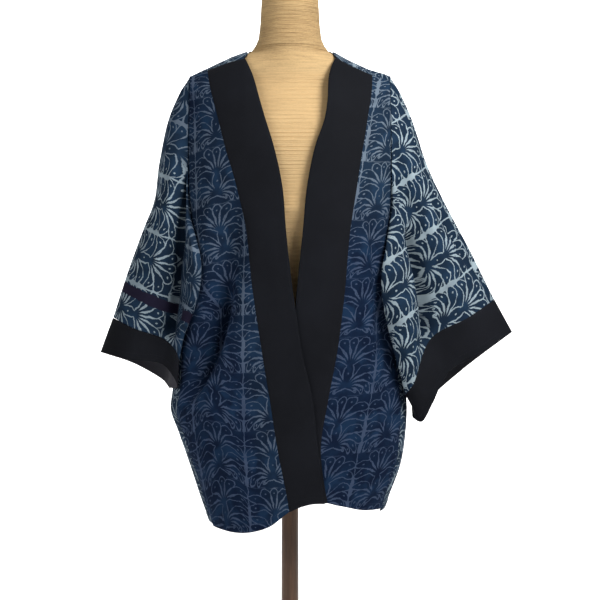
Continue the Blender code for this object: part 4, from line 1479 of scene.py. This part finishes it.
def finish_tree(tree, geometry, material, output):
    """Realizes what the tree made and gives it its material."""
    real = add(tree, "GeometryNodeRealizeInstances", Geometry=geometry)
    painted = add(tree, "GeometryNodeSetMaterial", Geometry=real.outputs[0], Material=material)
    tree.links.new(painted.outputs[0], output.inputs[0])


def path_object(name, lines):
    """Object of open lines, each a list of points."""
    points, edges = [], []
    for line in lines:
        start = len(points)
        points += [tuple(p) for p in line]
        edges += [(i, i + 1) for i in range(start, len(points) - 1)]
    return linked(name, mesh(name, points, edges, []))


def run_tree(path, name, tree, values):
    """Plain mesh object of what a tree makes of a path."""
    modifier = path.modifiers.new("nodes", "NODES")
    modifier.node_group = tree
    for item in tree.interface.items_tree:
        if item.in_out == "INPUT" and item.name in values:
            modifier[item.identifier] = values[item.name]
    graph = bpy.context.evaluated_depsgraph_get()
    data = bpy.data.meshes.new_from_object(path.evaluated_get(graph), depsgraph=graph)
    path.modifiers.clear()
    bpy.data.objects.remove(path)
    if not data.polygons:
        raise RuntimeError("the tree made nothing for " + name)
    return linked(name, data)


def winding_tree():
    """Round cord along a path."""
    tree, given, output = node_tree("cord_winding", (
        ("Radius", "NodeSocketFloat"), ("Sides", "NodeSocketInt"), ("Cord", "NodeSocketMaterial")))
    path = add(tree, "GeometryNodeMeshToCurve", Mesh=given.outputs["Geometry"])
    ring = add(tree, "GeometryNodeCurvePrimitiveCircle", Radius=given.outputs["Radius"],
               Resolution=given.outputs["Sides"])
    cord = add(tree, "GeometryNodeCurveToMesh", Curve=path.outputs[0],
               Profile_Curve=ring.outputs[0], Fill_Caps=True)
    soft = add(tree, "GeometryNodeSetShadeSmooth", Geometry=cord.outputs[0])
    finish_tree(tree, soft.outputs[0], given.outputs["Cord"], output)
    return tree


def stitch_tree():
    """Row of stitches along a path."""
    tree, given, output = node_tree("stitch_row", (
        ("Pitch", "NodeSocketFloat"), ("Length", "NodeSocketFloat"),
        ("Radius", "NodeSocketFloat"), ("Thread", "NodeSocketMaterial")))
    path = add(tree, "GeometryNodeMeshToCurve", Mesh=given.outputs["Geometry"])
    points = add(tree, "GeometryNodeResampleCurve", {"mode": "LENGTH"}, Curve=path.outputs[0],
                 Length=given.outputs["Pitch"])
    stitch = add(tree, "GeometryNodeMeshCylinder", Vertices=6, Radius=given.outputs["Radius"],
                 Depth=given.outputs["Length"])
    tangent = add(tree, "GeometryNodeInputTangent")
    turn = add(tree, "FunctionNodeAlignRotationToVector", {"axis": "Z"},
               Vector=tangent.outputs[0])
    row = add(tree, "GeometryNodeInstanceOnPoints", Points=points.outputs[0],
              Instance=stitch.outputs[0], Rotation=turn.outputs[0])
    finish_tree(tree, row.outputs[0], given.outputs["Thread"], output)
    return tree


def stitch_line(grid, ring, row, from_end, lift):
    """Line on the outer face of cloth, a distance from its first (0) or last (-1) row."""
    normal = outward_normals(grid, ring)
    order = slice(None) if row == 0 else slice(None, None, -1)
    run = travelled(grid[order], 0)
    line = []
    for column in range(grid.shape[1]):
        at = np.array([[np.interp(from_end, run[:, column], part[order][:, column, axis])
                        for axis in range(3)] for part in (grid, normal)])
        line.append(at[0] + at[1] * lift)
    if ring:
        line.append(line[0])
    return line


class KIMONO_OT_stitches(Operator):
    """Rows of sewing stitches along the hems and the cuffs"""
    bl_idname = "kimono.stitches"
    bl_label = "Stitches"

    def execute(self, context):
        sizes = cloth()
        hem = sizes.turned_hem * HEM_STITCH
        on_hem = sizes.print_cloth * HEM_FACE + sizes.stitch_radius * THREAD_LIFT
        on_band = sizes.band_cloth * HEM_FACE + sizes.stitch_radius * THREAD_LIFT
        on_cuff = sizes.band_cloth * CUFF_FACE + sizes.stitch_radius * THREAD_LIFT
        back, _ = back_grid()
        printed = [stitch_line(back, False, -1, hem, on_hem)]
        black = []
        for side in (RIGHT, LEFT):
            printed.append(stitch_line(front_panel_grid(side), False, -1, hem, on_hem))
            black.append(stitch_line(front_band_grid(side), False, -1, hem, on_band))
            cuff = cuff_grid(side)
            black.append(stitch_line(cuff, True, 0, CUFF_SEAM_STITCH, on_cuff))
            black.append(stitch_line(cuff, True, -1, hem, on_cuff))
        values = {"Pitch": sizes.stitch_pitch, "Length": sizes.stitch_length,
                  "Radius": sizes.stitch_radius}
        for name, lines, colour, slot in (
                ("hem_stitches", printed, sizes.thread, "printed_cotton"),
                ("black_stitches", black, sizes.black_thread, "black_cotton")):
            thread = shared(name[:-2], black_material, colour)
            piece = run_tree(path_object(name + "_path", lines), name, stitch_tree(),
                             {**values, "Thread": thread})
            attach(piece, "root")
        return {"FINISHED"}


class KIMONO_OT_form(Operator):
    """Dress form wound with twine"""
    bl_idname = "kimono.form"
    bl_label = "Dress form"

    def execute(self, context):
        settings = context.scene.kimono_form
        twine = twine_material()
        radius = settings.twine_radius
        self.core(twine, radius)
        top, bottom = FORM[0].drop * MM, FORM[-1].drop * MM
        drops = np.linspace(top, bottom, TWINE_SAMPLES)
        diagonal = form_points(drops, np.full(len(drops), math.pi / 4), 0)
        run = travelled(diagonal[:, None], 0)[:, 0]
        turns = run[-1] / settings.twine_pitch
        angle = np.linspace(0, 2 * math.pi * turns, int(turns * settings.turn_points))
        wander = sum(wave.height * MM * np.sin(angle * wave.rate + wave.start)
                     for wave in TWINE_WAVES)
        drop = np.interp(angle / (2 * math.pi) * settings.twine_pitch + wander, run, drops)
        path = path_object("twine_path", [form_points(drop, angle, radius)])
        winding = run_tree(path, "twine_winding", winding_tree(),
                           {"Radius": radius, "Sides": TWINE_SIDES, "Cord": twine})
        dress(winding, "form_torso")
        return {"FINISHED"}

    def core(self, twine, radius):
        """Closed body under the twine."""
        drops = finer(np.array([section.drop * MM for section in form_sections()]), CORE_STEP)
        angles = np.linspace(0, 2 * math.pi, CORE_COLUMNS, endpoint=False)
        rings = form_points(drops[:, None], angles[None, :], radius * CORE_INSET)
        rings[..., 2] = np.clip(rings[..., 2], NECK_POINT_HEIGHT - FORM[-1].drop * MM + radius,
                                NECK_POINT_HEIGHT - FORM[0].drop * MM - radius)
        count = len(angles)
        points = rings.reshape(-1, 3).tolist()
        faces = [(r * count + c, (r + 1) * count + c, (r + 1) * count + (c + 1) % count,
                  r * count + (c + 1) % count) for r in range(len(drops) - 1)
                 for c in range(count)]
        faces.append(tuple(range(count)))
        faces.append(tuple(reversed(range(len(points) - count, len(points)))))
        data = mesh("form_core", points, [], faces)
        data.shade_smooth()
        data.set_sharp_from_angle(angle=math.radians(CORE_CREASE))
        data.materials.append(twine)
        piece = linked("form_core", data)
        dress(piece, "form_torso")


class KIMONO_OT_stand(Operator):
    """Wooden pole and base"""
    bl_idname = "kimono.stand"
    bl_label = "Stand"

    def execute(self, context):
        wood = wood_material()
        for name in ("stand_pole", "stand_base"):
            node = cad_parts[name]
            for slot in node.material_slots:
                slot.material = wood
        return {"FINISHED"}


class KIMONO_OT_stage(Operator):
    """Pale floor, soft light and camera"""
    bl_idname = "kimono.stage"
    bl_label = "Stage"

    def execute(self, context):
        settings = context.scene.kimono_stage
        self.backdrop(settings)
        for lamp in LAMPS:
            self.light(lamp, getattr(settings, lamp.power))
        world = bpy.data.worlds.new("surroundings")
        world.use_nodes = True
        surroundings = world.node_tree.nodes["Background"].inputs
        surroundings["Color"].default_value = (1, 1, 1, 1)
        surroundings["Strength"].default_value = settings.ambient
        context.scene.world = world
        lens = bpy.data.cameras.new("camera")
        lens.sensor_width = SENSOR_WIDTH
        lens.lens = SENSOR_WIDTH * settings.camera_distance / settings.frame_width
        lens.shift_y = FRAME_SHIFT
        camera = linked("camera", lens)
        camera.location = (CAMERA_ACROSS, -settings.camera_distance, settings.horizon)
        camera.rotation_euler = (math.pi / 2, 0, 0)
        context.scene.camera = camera
        context.scene.view_settings.view_transform = "Standard"
        return {"FINISHED"}

    def backdrop(self, settings):
        """Floor that curves up into a wall behind."""
        start = WALL_DEPTH - WALL_BEND
        profile = [(FLOOR_FRONT, 0.0), (start, 0.0)]
        profile += [(start + WALL_BEND * math.sin(a), WALL_BEND - WALL_BEND * math.cos(a))
                    for a in np.linspace(0, math.pi / 2, BEND_POINTS)[1:]]
        profile.append((WALL_DEPTH, WALL_TOP))
        points = [(x, y, z) for y, z in profile for x in (-WALL_HALF, WALL_HALF)]
        faces = [(2 * i, 2 * i + 1, 2 * i + 3, 2 * i + 2) for i in range(len(profile) - 1)]
        data = mesh("floor_and_backdrop", points, [], faces)
        data.shade_smooth()
        shader = Shader("pale_paper")
        place = shader.place()
        grain = shader.noise(place, 3.0)
        low = tuple(part * 0.985 for part in settings.floor)
        data.materials.append(shader.set(Base_Color=shader.mix(grain, low, settings.floor),
                                         Roughness=0.9))
        linked("floor_and_backdrop", data)

    def light(self, lamp, power):
        data = bpy.data.lights.new(lamp.name, "AREA")
        data.shape, data.size, data.energy = "SQUARE", lamp.size, power
        made = linked(lamp.name, data)
        made.location = lamp.place
        aim = Vector(lamp.target) - Vector(lamp.place)
        made.rotation_euler = aim.to_track_quat("-Z", "Y").to_euler()


OPERATORS = (KIMONO_OT_back_panel, KIMONO_OT_front_panels, KIMONO_OT_front_bands,
             KIMONO_OT_neck_band, KIMONO_OT_sleeves, KIMONO_OT_cuffs, KIMONO_OT_stitches,
             KIMONO_OT_form, KIMONO_OT_stand, KIMONO_OT_stage)


class KIMONO_PT_sidebar(Panel):
    """The jacket's steps and settings"""
    bl_idname = "KIMONO_PT_sidebar"
    bl_label = "Kimono Jacket"
    bl_space_type = "VIEW_3D"
    bl_region_type = "UI"
    bl_category = "Kimono"

    def draw(self, context):
        for operator in OPERATORS:
            self.layout.operator(operator.bl_idname)
        for name in GROUPS:
            group = getattr(context.scene, name)
            box = self.layout.box()
            for label in group.bl_rna.properties.keys():
                if label not in ("name", "rna_type"):
                    box.prop(group, label)


GROUPS = {"kimono_cloth": KimonoCloth, "kimono_print": KimonoPrint, "kimono_form": KimonoForm,
          "kimono_stage": KimonoStage}
CLASSES = tuple(GROUPS.values()) + OPERATORS + (KIMONO_PT_sidebar,)


def register():
    for item in CLASSES:
        bpy.utils.register_class(item)
    for name, group in GROUPS.items():
        setattr(bpy.types.Scene, name, PointerProperty(type=group))


def unregister():
    for name in GROUPS:
        delattr(bpy.types.Scene, name)
    for item in reversed(CLASSES):
        bpy.utils.unregister_class(item)


def main():
    register()
    for operator in OPERATORS:
        area, action = operator.bl_idname.split(".")
        getattr(getattr(bpy.ops, area), action)()


if __name__ == "__main__":
    main()
